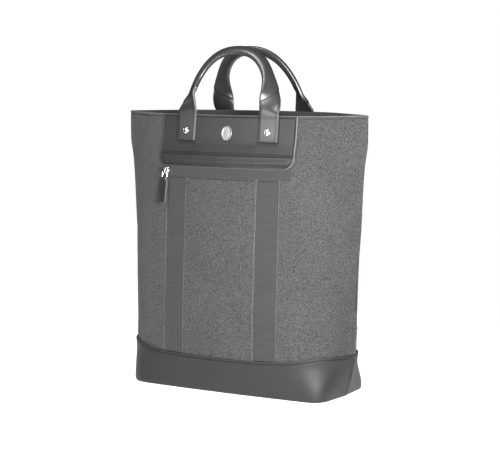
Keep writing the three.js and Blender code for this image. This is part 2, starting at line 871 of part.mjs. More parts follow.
// A ladder buckle: a frame with two slots and a bar between them
function buckle() {
  const shape = roundedRectangle(buckleWidth, buckleHeight, buckleCorner);
  const slotHeight = (buckleHeight - 3 * buckleBar) / 2;
  for (const sign of [-1, 1]) {
    const slot = roundedRectangle(buckleWidth - 2 * buckleBar, slotHeight, buckleCorner / 3).getPoints(2);
    const lift = sign * (buckleBar + slotHeight) / 2;
    shape.holes.push(new THREE.Path(slot.map((p) => new THREE.Vector2(p.x, p.y + lift))));
  }
  return plate(shape, bucklePlate, -bucklePlate / 2, 2);
}

// The corner tab leans the way the webbing runs
const tabTopShare = 0.31;
const tabInnerShare = 0.61;
const tabTop = tabTopShare * bagHeight;
const tabInner = tabInnerShare * halfMouth;
const tabLeanRatio = 0.75;
const tabNarrowRatio = 0.7;

function cornerTab(sign) {
  const levels = [0, 0.25, 0.5, 0.75, 1].map((share) => tabTop - tabHeight * (1 - share));
  const narrow = (z) => mix(tabNarrowRatio, 1, (tabTop - z) / tabHeight);
  const middle = (z) => tabInner + tabLeanRatio * (tabTop - z);
  const xAt = (share, z) => sign * (middle(z) + share * narrow(z) * tabWidth / 2);
  return patch(BACK, levels, bothWays([0, 0.33, 0.67, 1]), xAt, gap, () => gap + tabLeather);
}

// Webbing from the buckle's lower bar down to the corner tab: it leaves the buckle straight,
// and comes down on the tab at its lean
const webbingLeave = 5;
const webbingLand = 12;
const webbingLandLift = 2;

function webbingPath(sign, frame) {
  const start = frame.group.position.clone().addScaledVector(frame.along, gap + buckleHeight / 2);
  const endX = sign * tabInner;
  const offset = gap + tabLeather / 2;
  const end = skinAtX(BACK, endX, tabTop + gap, offset + gap);
  const leadX = endX - sign * tabLeanRatio * webbingLand;
  const lead = skinAtX(BACK, leadX, tabTop + webbingLand, offset + webbingLandLift);
  const leave = start.clone().addScaledVector(frame.along, webbingLeave);
  const curve = new THREE.CatmullRomCurve3([start, leave, lead, end]);
  const steps = 8;
  const down = new THREE.Vector3(0, 0, -1);
  return curve.getPoints(steps).map((centre, i) => ({
    centre,
    along: frame.along.clone().lerp(down, i / steps).normalize(),
    out: frame.out.clone().lerp(backNormal(endX, tabTop), i / steps),
    width: webbingWidth,
    thickness: webbingWall,
  }));
}

const padSquareness = 0.55;
const webbingSquareness = 0.1;

for (const [sign, hand] of [[-1, 'left'], [1, 'right']]) {
  add(`shoulder_strap_${hand}`, ribbon(strapPath(sign), 12, padSquareness), padCloth);
  const frame = buckleFrame(sign);
  add(`strap_buckle_${hand}`, buckle(), plastic, frame.group);
  add(`strap_webbing_${hand}`, ribbon(webbingPath(sign, frame), 4, webbingSquareness), webbing);
  add(`strap_tab_${hand}`, cornerTab(sign), baseLeather);
}

export default bag;
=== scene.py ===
# Convertible backpack: cloth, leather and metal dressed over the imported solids.
# Sizes are in millimetres until a piece is made, then in metres.

import math
from collections import namedtuple
from functools import lru_cache, partial

import bmesh
import bpy
from mathutils import Matrix, Vector, noise


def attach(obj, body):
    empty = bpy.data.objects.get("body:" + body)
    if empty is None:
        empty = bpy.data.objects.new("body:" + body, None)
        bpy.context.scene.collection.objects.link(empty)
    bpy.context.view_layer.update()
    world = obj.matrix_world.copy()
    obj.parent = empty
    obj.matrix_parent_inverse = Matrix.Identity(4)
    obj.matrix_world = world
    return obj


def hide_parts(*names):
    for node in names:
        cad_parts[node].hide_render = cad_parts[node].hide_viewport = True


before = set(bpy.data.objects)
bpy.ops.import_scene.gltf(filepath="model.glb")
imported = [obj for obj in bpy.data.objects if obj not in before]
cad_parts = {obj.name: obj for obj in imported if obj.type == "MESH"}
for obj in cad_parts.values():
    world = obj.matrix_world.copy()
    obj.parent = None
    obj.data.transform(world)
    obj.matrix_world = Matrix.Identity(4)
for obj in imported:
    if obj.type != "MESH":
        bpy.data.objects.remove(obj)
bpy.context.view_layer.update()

MM = 0.001
FRONT = -1
BACK = 1
SIDES = ((FRONT, "front"), (BACK, "back"))
HANDS = ((-1, "left"), (1, "right"))

# Driving sizes, as in the solids
BAG_HEIGHT = 420.0
HALF_MOUTH = 211.0
BAG_DEPTH = 165.0
FRONT_RIM_SAG = 2.4
BACK_RIM_RISE = 1.6
GAP = 0.3
CLOTH = 2.4
LEATHER = 2.2
YOKE_LEATHER = 1.8
FACING = 1.2
WEBBING = 1.4

BASE_HEIGHT = 55.0
BASE_RISE = 10.0
BASE_RISE_FROM = 0.76
BASE_LAP = 12.0
HEEL_TURN = 6.0
HEEL_INSET = 2.0
CORNER_PUSH = 5.0

YOKE_HALF = 118.0
YOKE_FOOT = BAG_HEIGHT - 81.0
YOKE_CORNER = 17.0
BAND_FOOT = YOKE_FOOT + 5.4
BAND_TOP = BAND_FOOT + 14.6
BAND_RISE = 3.0
BAND_INSET = 4.0
BAND_CORNER = 10.0
BAND_EDGE = 2.6

TAPE_HALF = 115.5
TAPE_FOOT = YOKE_FOOT - 14.0
TAPE_CORNER = 9.0

STRIP_HALF = 17.0
STRIP_MIDDLE = 80.0

HANDLE_HALF = 71.5
HANDLE_RISE = 94.0
APEX_Y = 19.5
FOOT_WIDTH = 32.0
FOOT_LEATHER = 4.4
FOOT_HEIGHT = 41.0
GRIP_WIDTH = 17.0
GRIP_THICKNESS = 8.2
GRIP_TILT = math.radians(50)
ARCH_SQUARENESS = 0.83
RIVET_HEIGHT = BAG_HEIGHT - FOOT_HEIGHT + 14.5

FACING_HEIGHT = 42.0
FACING_DROP = 0.5
BACK_YOKE_HEIGHT = 56.0
CORNER_LIMIT = 0.92

BODY_COLUMNS = ("front", "back", "half", "wing", "corner", "front_bow", "back_bow")
BODY_TABLE = (
    (0.0, 0.439, 0.491, 0.822, 86, 0.62, 0.018, 0.018),
    (0.057, 0.47, 0.497, 0.86, 82, 0.59, 0.042, 0.042),
    (0.158, 0.505, 0.497, 0.9, 76, 0.545, 0.067, 0.067),
    (0.286, 0.503, 0.485, 0.919, 68.5, 0.545, 0.067, 0.067),
    (0.405, 0.487, 0.467, 0.927, 63, 0.545, 0.067, 0.067),
    (0.505, 0.473, 0.455, 0.936, 59.5, 0.545, 0.067, 0.067),
    (0.595, 0.461, 0.442, 0.95, 53, 0.545, 0.067, 0.067),
    (0.738, 0.439, 0.427, 0.964, 45.8, 0.545, 0.067, 0.067),
    (0.821, 0.391, 0.409, 0.976, 40.8, 0.545, 0.048, 0.067),
    (0.862, 0.345, 0.394, 0.989, 36.6, 0.545, 0.027, 0.067),
    (0.893, 0.309, 0.379, 0.998, 33.7, 0.545, 0.012, 0.055),
    (0.938, 0.285, 0.354, 1.0, 31.8, 0.545, 0.009, 0.04),
    (1.0, 0.267, 0.348, 1.0, 30.8, 0.545, 0.009, 0.036),
)


# Plain helpers

def mix(a, b, t):
    return a + (b - a) * t


def clamp(value, low=0.0, high=1.0):
    return min(max(value, low), high)


def smooth(t):
    s = clamp(t)
    return s * s * (3 - 2 * s)


def sign(value):
    return -1.0 if value < 0 else 1.0


def steps(low, high, count):
    return [mix(low, high, i / count) for i in range(count + 1)]


def ripple(x, z, size, seed=0.0):
    """Smooth noise from -1 to 1 whose hills are about a size across."""
    return noise.noise(Vector((x / size, z / size, seed)))


def bump(distance, width):
    """A soft ridge, 1 at its middle and 0 beyond its width."""
    return 1 - smooth(abs(distance) / width)


def curve_through(table, value):
    """Reads a table at a value of its first column, on smooth curves that never overshoot."""
    last = len(table) - 1
    i = 0
    while i < last - 1 and value > table[i + 1][0]:
        i += 1
    step = table[i + 1][0] - table[i][0]
    t = clamp((value - table[i][0]) / step)
    result = []
    for k in range(1, len(table[0])):
        rate = (table[i + 1][k] - table[i][k]) / step
        start = end_rate(table, i, k, rate)
        end = end_rate(table, i + 1, k, rate)
        a, b = table[i][k], table[i + 1][k]
        h = t * t * (3 - 2 * t)
        low = t * (1 - t) ** 2
        high = t * t * (1 - t)
        result.append(a + (b - a) * h + step * (start * low - end * high))
    return result


def end_rate(table, i, k, rate):
    """The slope at a row: none at a turn, else the gentler mean of its two sides."""
    if i == 0 or i == len(table) - 1:
        return rate
    before = (table[i][k] - table[i - 1][k]) / (table[i][0] - table[i - 1][0])
    after = (table[i + 1][k] - table[i][k]) / (table[i + 1][0] - table[i][0])
    if before * after <= 0:
        return 0.0
    return 2 * before * after / (before + after)


# Body surface

class Quarter:
    """One quarter of the body's outline at a height: bowed front, round corner, straight wing."""

    def __init__(self, side, z):
        row = dict(zip(BODY_COLUMNS, curve_through(BODY_TABLE, z / BAG_HEIGHT)))
        name = "front" if side == FRONT else "back"
        self.depth = BAG_DEPTH * row[name]
        self.bow = BAG_DEPTH * row[name + "_bow"]
        self.half = HALF_MOUTH * row["half"]
        self.start = HALF_MOUTH * row["corner"]
        self.wing = math.radians(row["wing"])
        slope = 2 * self.bow / self.start
        rise = math.tan(self.wing)
        x = (self.half * rise - self.depth + self.bow - slope * self.start) / (rise - slope)
        self.p0 = Vector((self.start, self.bow - self.depth))
        self.p1 = Vector((x, (x - self.half) * rise))
        self.seam = Vector((self.half, 0))
        length = (self.seam - self.p1).length
        share = min((self.p1 - self.p0).length / length, CORNER_LIMIT)
        self.p2 = self.p1.lerp(self.seam, share)
        self.wing_length = (self.seam - self.p2).length

    def at_x(self, x):
        """Point and outward normal at x from the middle."""
        if x <= self.start:
            slope = 2 * self.bow * x / self.start ** 2
            return with_normal(x, self.bow * (x / self.start) ** 2 - self.depth, 1, slope)
        if x >= self.p2.x:
            return self.on_wing((x - self.p2.x) / (self.half - self.p2.x))
        a = self.p0.x - 2 * self.p1.x + self.p2.x
        b = 2 * (self.p1.x - self.p0.x)
        c = self.p0.x - x
        if abs(a) < 1e-9:
            return self.on_corner(-c / b)
        return self.on_corner((-b + math.sqrt(b * b - 4 * a * c)) / (2 * a))

    def on_corner(self, t):
        point = self.p0 * (1 - t) ** 2 + self.p1 * (2 * t * (1 - t)) + self.p2 * t * t
        along = (self.p1 - self.p0).lerp(self.p2 - self.p1, t)
        return with_normal(point.x, point.y, along.x, along.y)

    def on_wing(self, t):
        point = self.p2.lerp(self.seam, t)
        return with_normal(point.x, point.y, math.cos(self.wing), math.sin(self.wing))


def with_normal(x, y, dx, dy):
    """A point of an outline with its outward normal, from its direction."""
    length = math.hypot(dx, dy)
    return x, y, dy / length, -dx / length


quarter_at = lru_cache(maxsize=20000)(Quarter)


def quarter(side, z):
    return quarter_at(side, round(z, 2))


def skin(side, x, z, offset=0.0):
    """A point on the body at x and a height, moved out from it."""
    px, py, nx, ny = quarter(side, z).at_x(abs(x))
    return Vector((sign(x) * (px + nx * offset), -side * (py + ny * offset), z))


def skin_normal(side, x, z):
    """The direction out of the body, its lean included."""
    across = skin(side, x + 1, z) - skin(side, x - 1, z)
    up = skin(side, x, z + 1) - skin(side, x, z - 1)
    return across.cross(up).normalized() * -side


def rim_at(side, x):
    share = clamp(abs(x) / HALF_MOUTH)
    lift = -FRONT_RIM_SAG if side == FRONT else BACK_RIM_RISE
    return BAG_HEIGHT + lift * (1 - share ** 2)


def base_top_at(x):
    share = clamp(abs(x) / (HALF_MOUTH * BASE_RISE_FROM))
    return BASE_HEIGHT + BASE_RISE * share ** 4


# Making pieces

def linked(name, data):
    obj = bpy.data.objects.new(name, data)
    bpy.context.scene.collection.objects.link(obj)
    return obj


def make_piece(name, shape, looks, nodes=(), picks=None):
    """A closed mesh from points in millimetres and faces, that rides on the bag's one body."""
    points, faces = shape
    mesh = bpy.data.meshes.new(name)
    mesh.from_pydata([p * MM for p in points], [], faces)
    for look in looks:
        mesh.materials.append(look)
    if picks:
        mesh.polygons.foreach_set("material_index", picks)
    form = bmesh.new()
    form.from_mesh(mesh)
    bmesh.ops.remove_doubles(form, verts=form.verts, dist=1e-6)
    bmesh.ops.dissolve_degenerate(form, edges=form.edges, dist=1e-7)
    bmesh.ops.recalc_face_normals(form, faces=form.faces)
    form.to_mesh(mesh)
    form.free()
    mesh.polygons.foreach_set("use_smooth", [True] * len(mesh.polygons))
    piece = linked(name, mesh)
    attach(piece, "root")
    if nodes:
        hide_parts(*nodes)
    return piece


def grid_faces(rows, columns, start=0, around=False):
    faces = []
    for r in range(rows - 1):
        for c in range(columns if around else columns - 1):
            a = start + r * columns + c
            b = start + r * columns + (c + 1) % columns
            faces.append((a, b, b + columns, a + columns))
    return faces


def sheet(rows, columns, spots):
    """A closed sheet: spots gives its outer and its inner point at a row and a column."""
    pairs = [spots(row, column) for row in rows for column in columns]
    points = [outer for outer, inner in pairs] + [inner for outer, inner in pairs]
    size = len(rows), len(columns)
    return points, grid_faces(*size) + grid_faces(*size, len(pairs))


def sheet_picks(points, faces, choose):
    """A material number for each face: chosen by its middle on the outer side, 1 on the inner."""
    outer = faces[:len(faces) // 2]
    return pick_faces(points, outer, choose) + [1] * len(outer)


def pick_faces(points, faces, choose):
    """A material number for each face, chosen from its middle point."""
    middles = (sum((points[i] for i in face), Vector()) / len(face) for face in faces)
    return [choose(middle) for middle in middles]


def loft(rings, closed_ends=True):
    """Rings of points joined one to the next."""
    sides = len(rings[0])
    points = [p for ring in rings for p in ring]
    faces = grid_faces(len(rings), sides, around=True)
    if closed_ends:
        top = (len(rings) - 1) * sides
        faces.append(tuple(range(sides)))
        faces.append(tuple(top + i for i in reversed(range(sides))))
    return points, faces


def joined(shapes):
    """Several shapes as one."""
    points, faces = [], []
    for more, extra in shapes:
        start = len(points)
        points += more
        faces += [tuple(start + i for i in face) for face in extra]
    return points, faces


def ring_at(centre, across, out, width, thickness, sides, squareness):
    """A ring about a centre; squareness near 0 is a box and 1 is an ellipse."""
    ring = []
    for i in range(sides):
        angle = 2 * math.pi * (i + 0.5) / sides
        a = rounded(math.cos(angle), squareness) * width / 2
        b = rounded(math.sin(angle), squareness) * thickness / 2
        ring.append(centre + across * a + out * b)
    return ring


def rounded(value, squareness):
    return sign(value) * abs(value) ** squareness


def heading(path, i):
    """The direction of a path at one of its points."""
    return (path[min(i + 1, len(path) - 1)] - path[max(i - 1, 0)]).normalized()


def square_to(vector, along):
    return (vector - along * vector.dot(along)).normalized()


def mirrored(shares):
    return [-share for share in reversed(shares[1:])] + shares


def edge_roll(distance, radius):
    """How full a sheet's thickness is at a distance from its rounded edge."""
    t = clamp(1 - distance / radius)
    return math.sqrt(max(1 - t * t, 0.0))


def edge_steps(length, radius, count):
    """Distances along a length, close together over the rounded edge at each end."""
    turn = [radius * (1 - math.cos(math.pi / 2 * i / 4)) for i in range(4)]
    middle = steps(radius, length - radius, count)
    return turn + middle + [length - d for d in reversed(turn)]


def rounded_distance(x, z, half, low, high, corner):
    """Distance inside the edge of a patch that is square above and has round lower corners."""
    side = half - abs(x)
    up = z - low
    if side < corner and up < corner:
        return corner - math.hypot(corner - side, corner - up)
    return min(side, up, high - z)


def rounded_half(half, low, corner, z):
    t = clamp(1 - (z - low) / corner)
    return half - corner * (1 - math.sqrt(1 - t * t))


def body_sheet(side, us, vs, place, lay, thickness, relief, edge):
    """A sheet on the front or back of the body with rounded edges."""
    half = thickness / 2

    def spots(v, u):
        x, z = place(u, v)
        roll = edge_roll(edge(x, z), half)
        outer = skin(side, x, z, lay + half + roll * (half + relief(x, z)))
        return outer, skin(side, x, z, lay + half - roll * half)

    return sheet(vs, us, spots)


# Stitches

STITCH_LENGTH = 2.2
STITCH_PITCH = 3.1
STITCH_WIDTH = 0.95
STITCH_SECTIONS = ((-0.5, 0.35), (-0.3, 0.95), (0, 1.0), (0.3, 0.95), (0.5, 0.35))


class Thread:
    """Rows of stitches gathered into one piece."""

    def __init__(self):
        self.stitches = []

    def stitch(self, centre, along, out, length):
        across = along.cross(out).normalized()
        rings = []
        for share, size in STITCH_SECTIONS:
            middle = centre + along * (share * length) + out * (STITCH_WIDTH * (0.28 - share * share))
            width = STITCH_WIDTH * size
            rings.append(ring_at(middle, across, out, width, width * 0.8, 6, 1))
        self.stitches.append(loft(rings))

    def row(self, path, pitch=STITCH_PITCH, length=STITCH_LENGTH):
        """Stitches along a path of points, each with its own direction out."""
        lengths = [(b[0] - a[0]).length for a, b in zip(path, path[1:])]
        total = sum(lengths)
        count = max(int(total / pitch), 1)
        spot, walked = 0, 0.0
        for i in range(count):
            target = total * (i + 0.5) / count
            while spot < len(lengths) - 1 and walked + lengths[spot] < target:
                walked += lengths[spot]
                spot += 1
            t = clamp((target - walked) / max(lengths[spot], 1e-9))
            (a, out_a), (b, out_b) = path[spot], path[spot + 1]
            along = (b - a).normalized()
            out = square_to(out_a.lerp(out_b, t).normalized(), along)
            self.stitch(a.lerp(b, t), along, out, length)

    def on_body(self, side, spots, lift, **sizes):
        """Stitches along spots (x, z) of the body, lifted off its skin."""
        path = []
        for x, z in spots:
            height = lift(x, z) if callable(lift) else lift
            path.append((skin(side, x, z, height), skin_normal(side, x, z)))
        self.row(path, **sizes)

    def make(self, name):
        make_piece(name, joined(self.stitches), [thread_look])


# Looks

class Nodes:
    """A node tree, with short ways to add nodes and join them."""

    def __init__(self, tree):
        self.tree = tree

    def plug(self, socket, value):
        """Links an output to a socket, or sets a plain value on it."""
        if isinstance(value, bpy.types.NodeSocket):
            self.tree.links.new(value, socket)
        else:
            socket.default_value = value

    def node(self, kind, links=(), **settings):
        made = self.tree.nodes.new(kind)
        for key, value in settings.items():
            setattr(made, key, value)
        for socket, value in dict(links).items():
            self.plug(made.inputs[socket], value)
        return made

    def ramp(self, value, stops):
        made = self.node("ShaderNodeValToRGB", {"Fac": value})
        elements = made.color_ramp.elements
        while len(elements) < len(stops):
            elements.new(0.5)
        for element, (place, tone) in zip(elements, stops):
            element.position = place
            element.color = tone if isinstance(tone, tuple) else grey(tone)
        return made.outputs["Color"]


class Look(Nodes):
    """A procedural material."""

    def __init__(self, name, roughness, metallic=0.0, specular=0.5):
        self.material = bpy.data.materials.new(name)
        self.material.use_nodes = True
        super().__init__(self.material.node_tree)
        self.shader = self.tree.nodes["Principled BSDF"]
        self.set(Roughness=roughness, Metallic=metallic, Specular_IOR_Level=specular)
        self.spot = self.node("ShaderNodeTexCoord").outputs["Object"]

    def set(self, **values):
        for name, value in values.items():
            self.plug(self.shader.inputs[name.replace("_", " ")], value)

    def stretched(self, x, y, z):
        links = {"Vector": self.spot, "Scale": (x, y, z)}
        return self.node("ShaderNodeMapping", links).outputs["Vector"]

    def noise(self, place, scale=1.0, detail=2.0, roughness=0.5):
        links = {"Vector": place, "Scale": scale, "Detail": detail, "Roughness": roughness}
        return self.node("ShaderNodeTexNoise", links).outputs["Fac"]

    def cells(self, place, scale):
        links = {"Vector": place, "Scale": scale}
        return self.node("ShaderNodeTexVoronoi", links).outputs["Distance"]

    def between(self, value, low, high):
        """Two tones, or two numbers, over the middle range of a noise."""
        return self.ramp(value, ((0.3, low), (0.7, high)))

    def times(self, a, b):
        links = {0: 1.0, 6: a, 7: b}
        return self.node("ShaderNodeMix", links, data_type="RGBA", blend_type="MULTIPLY").outputs[2]

    def relief(self, height, distance, strength, under=None):
        links = {"Height": height, "Distance": distance, "Strength": strength}
        if under:
            links["Normal"] = under
        return self.node("ShaderNodeBump", links).outputs["Normal"]


def grey(value, warm=0.0):
    return (value * (1 + warm), value, value * (1 - warm), 1)


def melange_look(name, dark, light):
    """Wool-like cloth: short upright flecks of light and dark yarn over a fine weave."""
    look = Look(name, 0.95, specular=0.15)
    fleck = look.noise(look.stretched(1250, 1250, 540), detail=3.0, roughness=0.65)
    fine = look.noise(look.stretched(2100, 2100, 1300), detail=1.0)
    broad = look.noise(look.spot, scale=14)
    middle = mix(dark, light, 0.5)
    tone = look.ramp(fleck, ((0.34, grey(dark)), (0.52, grey(middle)), (0.72, grey(light))))
    tone = look.times(tone, look.between(fine, 0.72, 1.25))
    tone = look.times(tone, look.between(broad, 0.93, 1.05))
    yarn = look.node("ShaderNodeMath", {0: fleck, 1: fine}, operation="ADD").outputs[0]
    look.set(Base_Color=tone, Normal=look.relief(yarn, 0.0005, 0.6))
    look.set(Sheen_Weight=0.12, Sheen_Roughness=0.5)
    return look.material


def leather_look(name, tone, roughness, specular=0.3, grain=0.6):
    """Smooth leather: fine pores, soft patches of tone and gloss, faint creases."""
    look = Look(name, roughness, specular=specular)
    pores = look.cells(look.spot, 1500)
    creases = look.noise(look.stretched(60, 60, 110), detail=5.0, roughness=0.6)
    patches = look.noise(look.spot, scale=22, detail=3.0)
    fine = look.noise(look.spot, scale=900)
    color = look.between(patches, grey(tone * 0.9), grey(tone * 1.1))
    color = look.times(color, look.between(fine, 0.92, 1.06))
    gloss = look.between(patches, roughness - 0.06, roughness + 0.07)
    rough = look.relief(pores, 0.00012 * grain, 0.7)
    normal = look.relief(creases, 0.0006 * grain, 0.35, rough)
    look.set(Base_Color=color, Roughness=gloss, Normal=normal)
    return look.material


def webbing_look(name, tone):
    """Woven webbing: fine yarn along it, in slightly uneven tones."""
    look = Look(name, 0.85, specular=0.25)
    yarn = look.noise(look.stretched(1300, 1300, 500))
    patches = look.noise(look.stretched(30, 30, 200))
    color = look.between(yarn, grey(tone * 0.82), grey(tone * 1.15))
    color = look.times(color, look.between(patches, 0.92, 1.06))
    look.set(Base_Color=color, Normal=look.relief(yarn, 0.0003, 0.5))
    look.set(Sheen_Weight=0.15, Sheen_Roughness=0.5)
    return look.material


def metal_look(name, tone, roughness):
    """Metal with a faint grain and small marks."""
    look = Look(name, roughness, metallic=1.0)
    marks = look.noise(look.spot, scale=700, detail=4.0)
    color = look.between(marks, grey(tone * 0.93, 0.01), grey(tone, 0.01))
    gloss = look.between(marks, roughness * 0.8, roughness * 1.3)
    look.set(Base_Color=color, Roughness=gloss, Normal=look.relief(marks, 0.00004, 0.4))
    return look.material


def plain_look(name, tone, roughness, size, depth):
    """Thread, lining or moulded plastic: one tone with a fine texture."""
    look = Look(name, roughness, specular=0.15)
    grain = look.noise(look.spot, scale=size)
    color = look.between(grain, grey(tone * 0.85), grey(tone * 1.15))
    look.set(Base_Color=color, Normal=look.relief(grain, depth, 0.5))
    return look.material


cloth_look = melange_look("melange_cloth", 0.003, 0.098)
# Paler cloth for the rim's fold and for the folded edges beside the webbing strips: a painted highlight.
fold_highlight_look = melange_look("cloth_fold_painted_highlight", 0.03, 0.15)
# Dark lining for the insides, also put on the outer cloth in the gap beside each webbing strip as painted
# shade.
lining_and_gap_shade_look = plain_look("dark_lining_and_gap_shade", 0.04, 0.9, 1800, 0.0002)
yoke_look = leather_look("yoke_leather", 0.024, 0.36, 0.3)
base_look = leather_look("base_leather", 0.018, 0.52, 0.34)
handle_look = leather_look("handle_leather", 0.019, 0.35, 0.75, 0.05)
# Paler leather on cut edges: partly the edges' own paint, partly a painted highlight.
edge_paint_and_highlight_look = leather_look("cut_leather_edge_paint_and_highlight", 0.1, 0.45, 0.3, 0.5)
strip_look = webbing_look("ribbed_webbing", 0.031)
nickel_look = metal_look("polished_nickel", 0.78, 0.16)
thread_look = plain_look("dark_thread", 0.008, 0.9, 3000, 0.0001)
plate_look = metal_look("brushed_plate", 0.36, 0.42)
pad_look = webbing_look("strap_cloth", 0.03)
plastic_look = plain_look("moulded_plastic", 0.02, 0.45, 2500, 0.00005)


# Stations round the body, for pieces that reach from one side seam to the other

FLAT_END = 112
FLAT_SPAN = 115
SEAM_TURN = 0.5
SEAM_FACE = 0.05
OFF_WING = 99.0


def body_stations(flat):
    """Stations round half the body: flat front, corner, wing up to the seam."""
    stations = [("flat", x) for x in flat]
    stations += [("corner", t) for t in steps(0.03, 1, 20)]
    stations += [("wing", t) for t in (0.12, 0.26, 0.4, 0.55, 0.68, 0.78, 0.86)]
    stations += [("seam", d) for d in (3.2, 2.4, 1.7, 1.1, 0.6, 0.25, 0)]
    left = [(zone, value, -1) for zone, value in reversed(stations) if (zone, value) != ("flat", 0)]
    return left + [(zone, value, 1) for zone, value in stations]


def station_spot(side, station, z, offset=0.0):
    """A station's point, moved out from the skin; a wing ends where it meets the seam."""
    zone, value, hand = station
    q = quarter(side, z)
    if zone == "flat":
        x, y, nx, ny = q.at_x(value * min(1, q.start / FLAT_SPAN))
    elif zone == "corner":
        x, y, nx, ny = q.on_corner(value)
    else:
        x, y, nx, ny = q.on_wing(0)
    x, y = x + nx * offset, y + ny * offset
    if zone in ("wing", "seam"):
        t = 1 - seam_distance(side, station, z) / q.wing_length
        gap = GAP / 2 * clamp(1 + 2 * offset / CLOTH)
        end = q.half + (offset - gap * math.cos(q.wing)) / math.sin(q.wing)
        x, y = mix(x, end, t), mix(y, -gap, t)
    return Vector((hand * x, -side * y, z))


def seam_distance(side, station, z):
    """Distance from a station to the side seam, or a large number off the wing."""
    zone, value = station[:2]
    if zone not in ("wing", "seam"):
        return OFF_WING
    length = quarter(side, z).wing_length
    return length * (1 - value) if zone == "wing" else min(value, length)


def seam_roll(distance):
    """How full a panel is beside the seam, where a narrow face meets the next panel."""
    return edge_roll(distance + SEAM_FACE, SEAM_TURN)


def up_then_down(ups, downs):
    """Rows told by their height, then rows told by their distance below the top."""
    return [("up", z) for z in ups] + [("down", d) for d in downs]


# Cloth panels

CLOTH_FOOT = BASE_HEIGHT - BASE_LAP
CLOTH_ROWS = up_then_down(
    steps(CLOTH_FOOT, 400, 78),
    (12, 9.5, 7.5, 6.4, 5.6, 5.0, 4.6, 4.2, 3.6, 2.9, 2.2, 1.6, 1.1, 0.7, 0.35, 0.1, 0),
)
CLOTH_STITCH = 4.6
TAPE_STITCH = 2.6
FOLD_RIM = 1.7
FOLD_WIDTH = 1.9
STRIP_GAP = 0.6
NEAR_STRIP = (-2.9, -2.3, -1.9, -1.4, -0.9, -0.4, 0.1, 0.5, 1.2)


def front_columns():
    """Places across the flat front, close together beside the webbing strips."""
    low, high = STRIP_MIDDLE - STRIP_HALF, STRIP_MIDDLE + STRIP_HALF
    fine = [low + d for d in NEAR_STRIP] + [high - d for d in NEAR_STRIP]
    coarse = steps(0, low - 4, 9) + steps(low + 3, high - 3, 4) + steps(high + 4, 114, 3)
    return sorted(fine + coarse)


def from_strip(x):
    """Distance outside the edge of the nearer webbing strip."""
    return abs(abs(x) - STRIP_MIDDLE) - STRIP_HALF


def outside(x, z, low_x, high_x, low_z, high_z):
    """Distance from a spot to a rectangle, 0 inside it."""
    return math.hypot(max(low_x - x, x - high_x, 0), max(low_z - z, z - high_z, 0))


def bare_cloth(side, x, z):
    """1 where nothing lies on the cloth, falling to 0 under what does."""
    if side == FRONT:
        covers = [(-YOKE_HALF, YOKE_HALF, TAPE_FOOT - 4, BAG_HEIGHT)]
        for middle in (-STRIP_MIDDLE, STRIP_MIDDLE):
            covers.append((middle - STRIP_HALF - 3, middle + STRIP_HALF + 3, 0, TAPE_FOOT))
    else:
        covers = [(-YOKE_HALF, YOKE_HALF, BAG_HEIGHT - BACK_YOKE_HEIGHT - 14, BAG_HEIGHT)]
        covers += [(90, 175, 86, 150), (-175, -90, 86, 150)]
    room = min(outside(x, z, *cover) for cover in covers)
    return smooth(min(room, z - base_top_at(x) - 3) / 14)


def strip_channel(x, z):
    """Folded cloth edges that stand beside each webbing strip, and the dip it lies in."""
    if z > TAPE_FOOT + 1:
        return 0.0
    away = from_strip(x)
    if away < STRIP_GAP:
        return -1.1 * smooth((STRIP_GAP - away) / 0.5)
    return 0.9 * bump(away - 1.4, 1.1) + 0.25 * bump(away - 4.6, 2.2)


def cloth_relief(side, x, z, distance):
    soft = 1.5 * ripple(x, z, 75, 3 + side) + 0.6 * ripple(x, z, 28, 7 + side)
    upright = 0.5 * ripple(x, z / 3, 16, 11 + side)
    relief = bare_cloth(side, x, z) * smooth(distance / 14) * (soft + upright)
    if side == FRONT:
        relief += strip_channel(x, z)
        beside = outside(x, z, -YOKE_HALF, YOKE_HALF, YOKE_FOOT, BAG_HEIGHT + 9)
        relief -= 0.7 * bump(beside - 0.6, 1.6) if beside > 0 else 0
    from_rim = rim_at(side, x) - z
    relief -= 0.35 * bump(from_rim - CLOTH_STITCH, 1.1)
    relief += 0.25 * bump(from_rim - 2.0, 1.8)
    return relief + 0.5 * bump(distance - 1.6, 1.6)


def cloth_pick(side):
    """Cloth; painted shade (the dark lining) in the gap beside a webbing strip; or paler cloth along a fold,
    a painted highlight.
    """
    def choose(point):
        x, z = point.x, point.z
        # Along the rim's fold: paler cloth, a painted highlight.
        if rim_at(side, x) - z < FOLD_RIM:
            return 2
        if side == BACK or z > TAPE_FOOT or z < base_top_at(x):
            return 0
        # The gap beside a webbing strip takes the dark lining: painted shade.
        if from_strip(x) < STRIP_GAP:
            return 1
        # On the folded edge beside a strip: paler cloth, a painted highlight.
        return 2 if from_strip(x) < FOLD_WIDTH else 0
    return choose


def cloth_panel(side, word):
    def spots(row, station):
        at = partial(station_spot, side, station)
        kind, value = row
        top = rim_at(side, at(value if kind == "up" else BAG_HEIGHT).x)
        z = value * (top - 0.1) / BAG_HEIGHT if kind == "up" else top - value
        z = max(z, CLOTH_FOOT)
        distance = seam_distance(side, station, z)
        roll = edge_roll(top - z, CLOTH / 2) * seam_roll(distance) * edge_roll(z - CLOTH_FOOT, 0.3)
        relief = roll * cloth_relief(side, at(z).x, z, distance)
        return at(z, CLOTH / 2 * (roll - 1) + relief), at(z, -CLOTH / 2 * (roll + 1))

    flat = front_columns() if side == FRONT else steps(0, FLAT_END, 14)
    shape = sheet(CLOTH_ROWS, body_stations(flat), spots)
    picks = sheet_picks(*shape, cloth_pick(side))
    looks = [cloth_look, lining_and_gap_shade_look, fold_highlight_look]
    make_piece(f"{word}_cloth", shape, looks, [f"{word}_panel"], picks)


# Facing inside the mouth

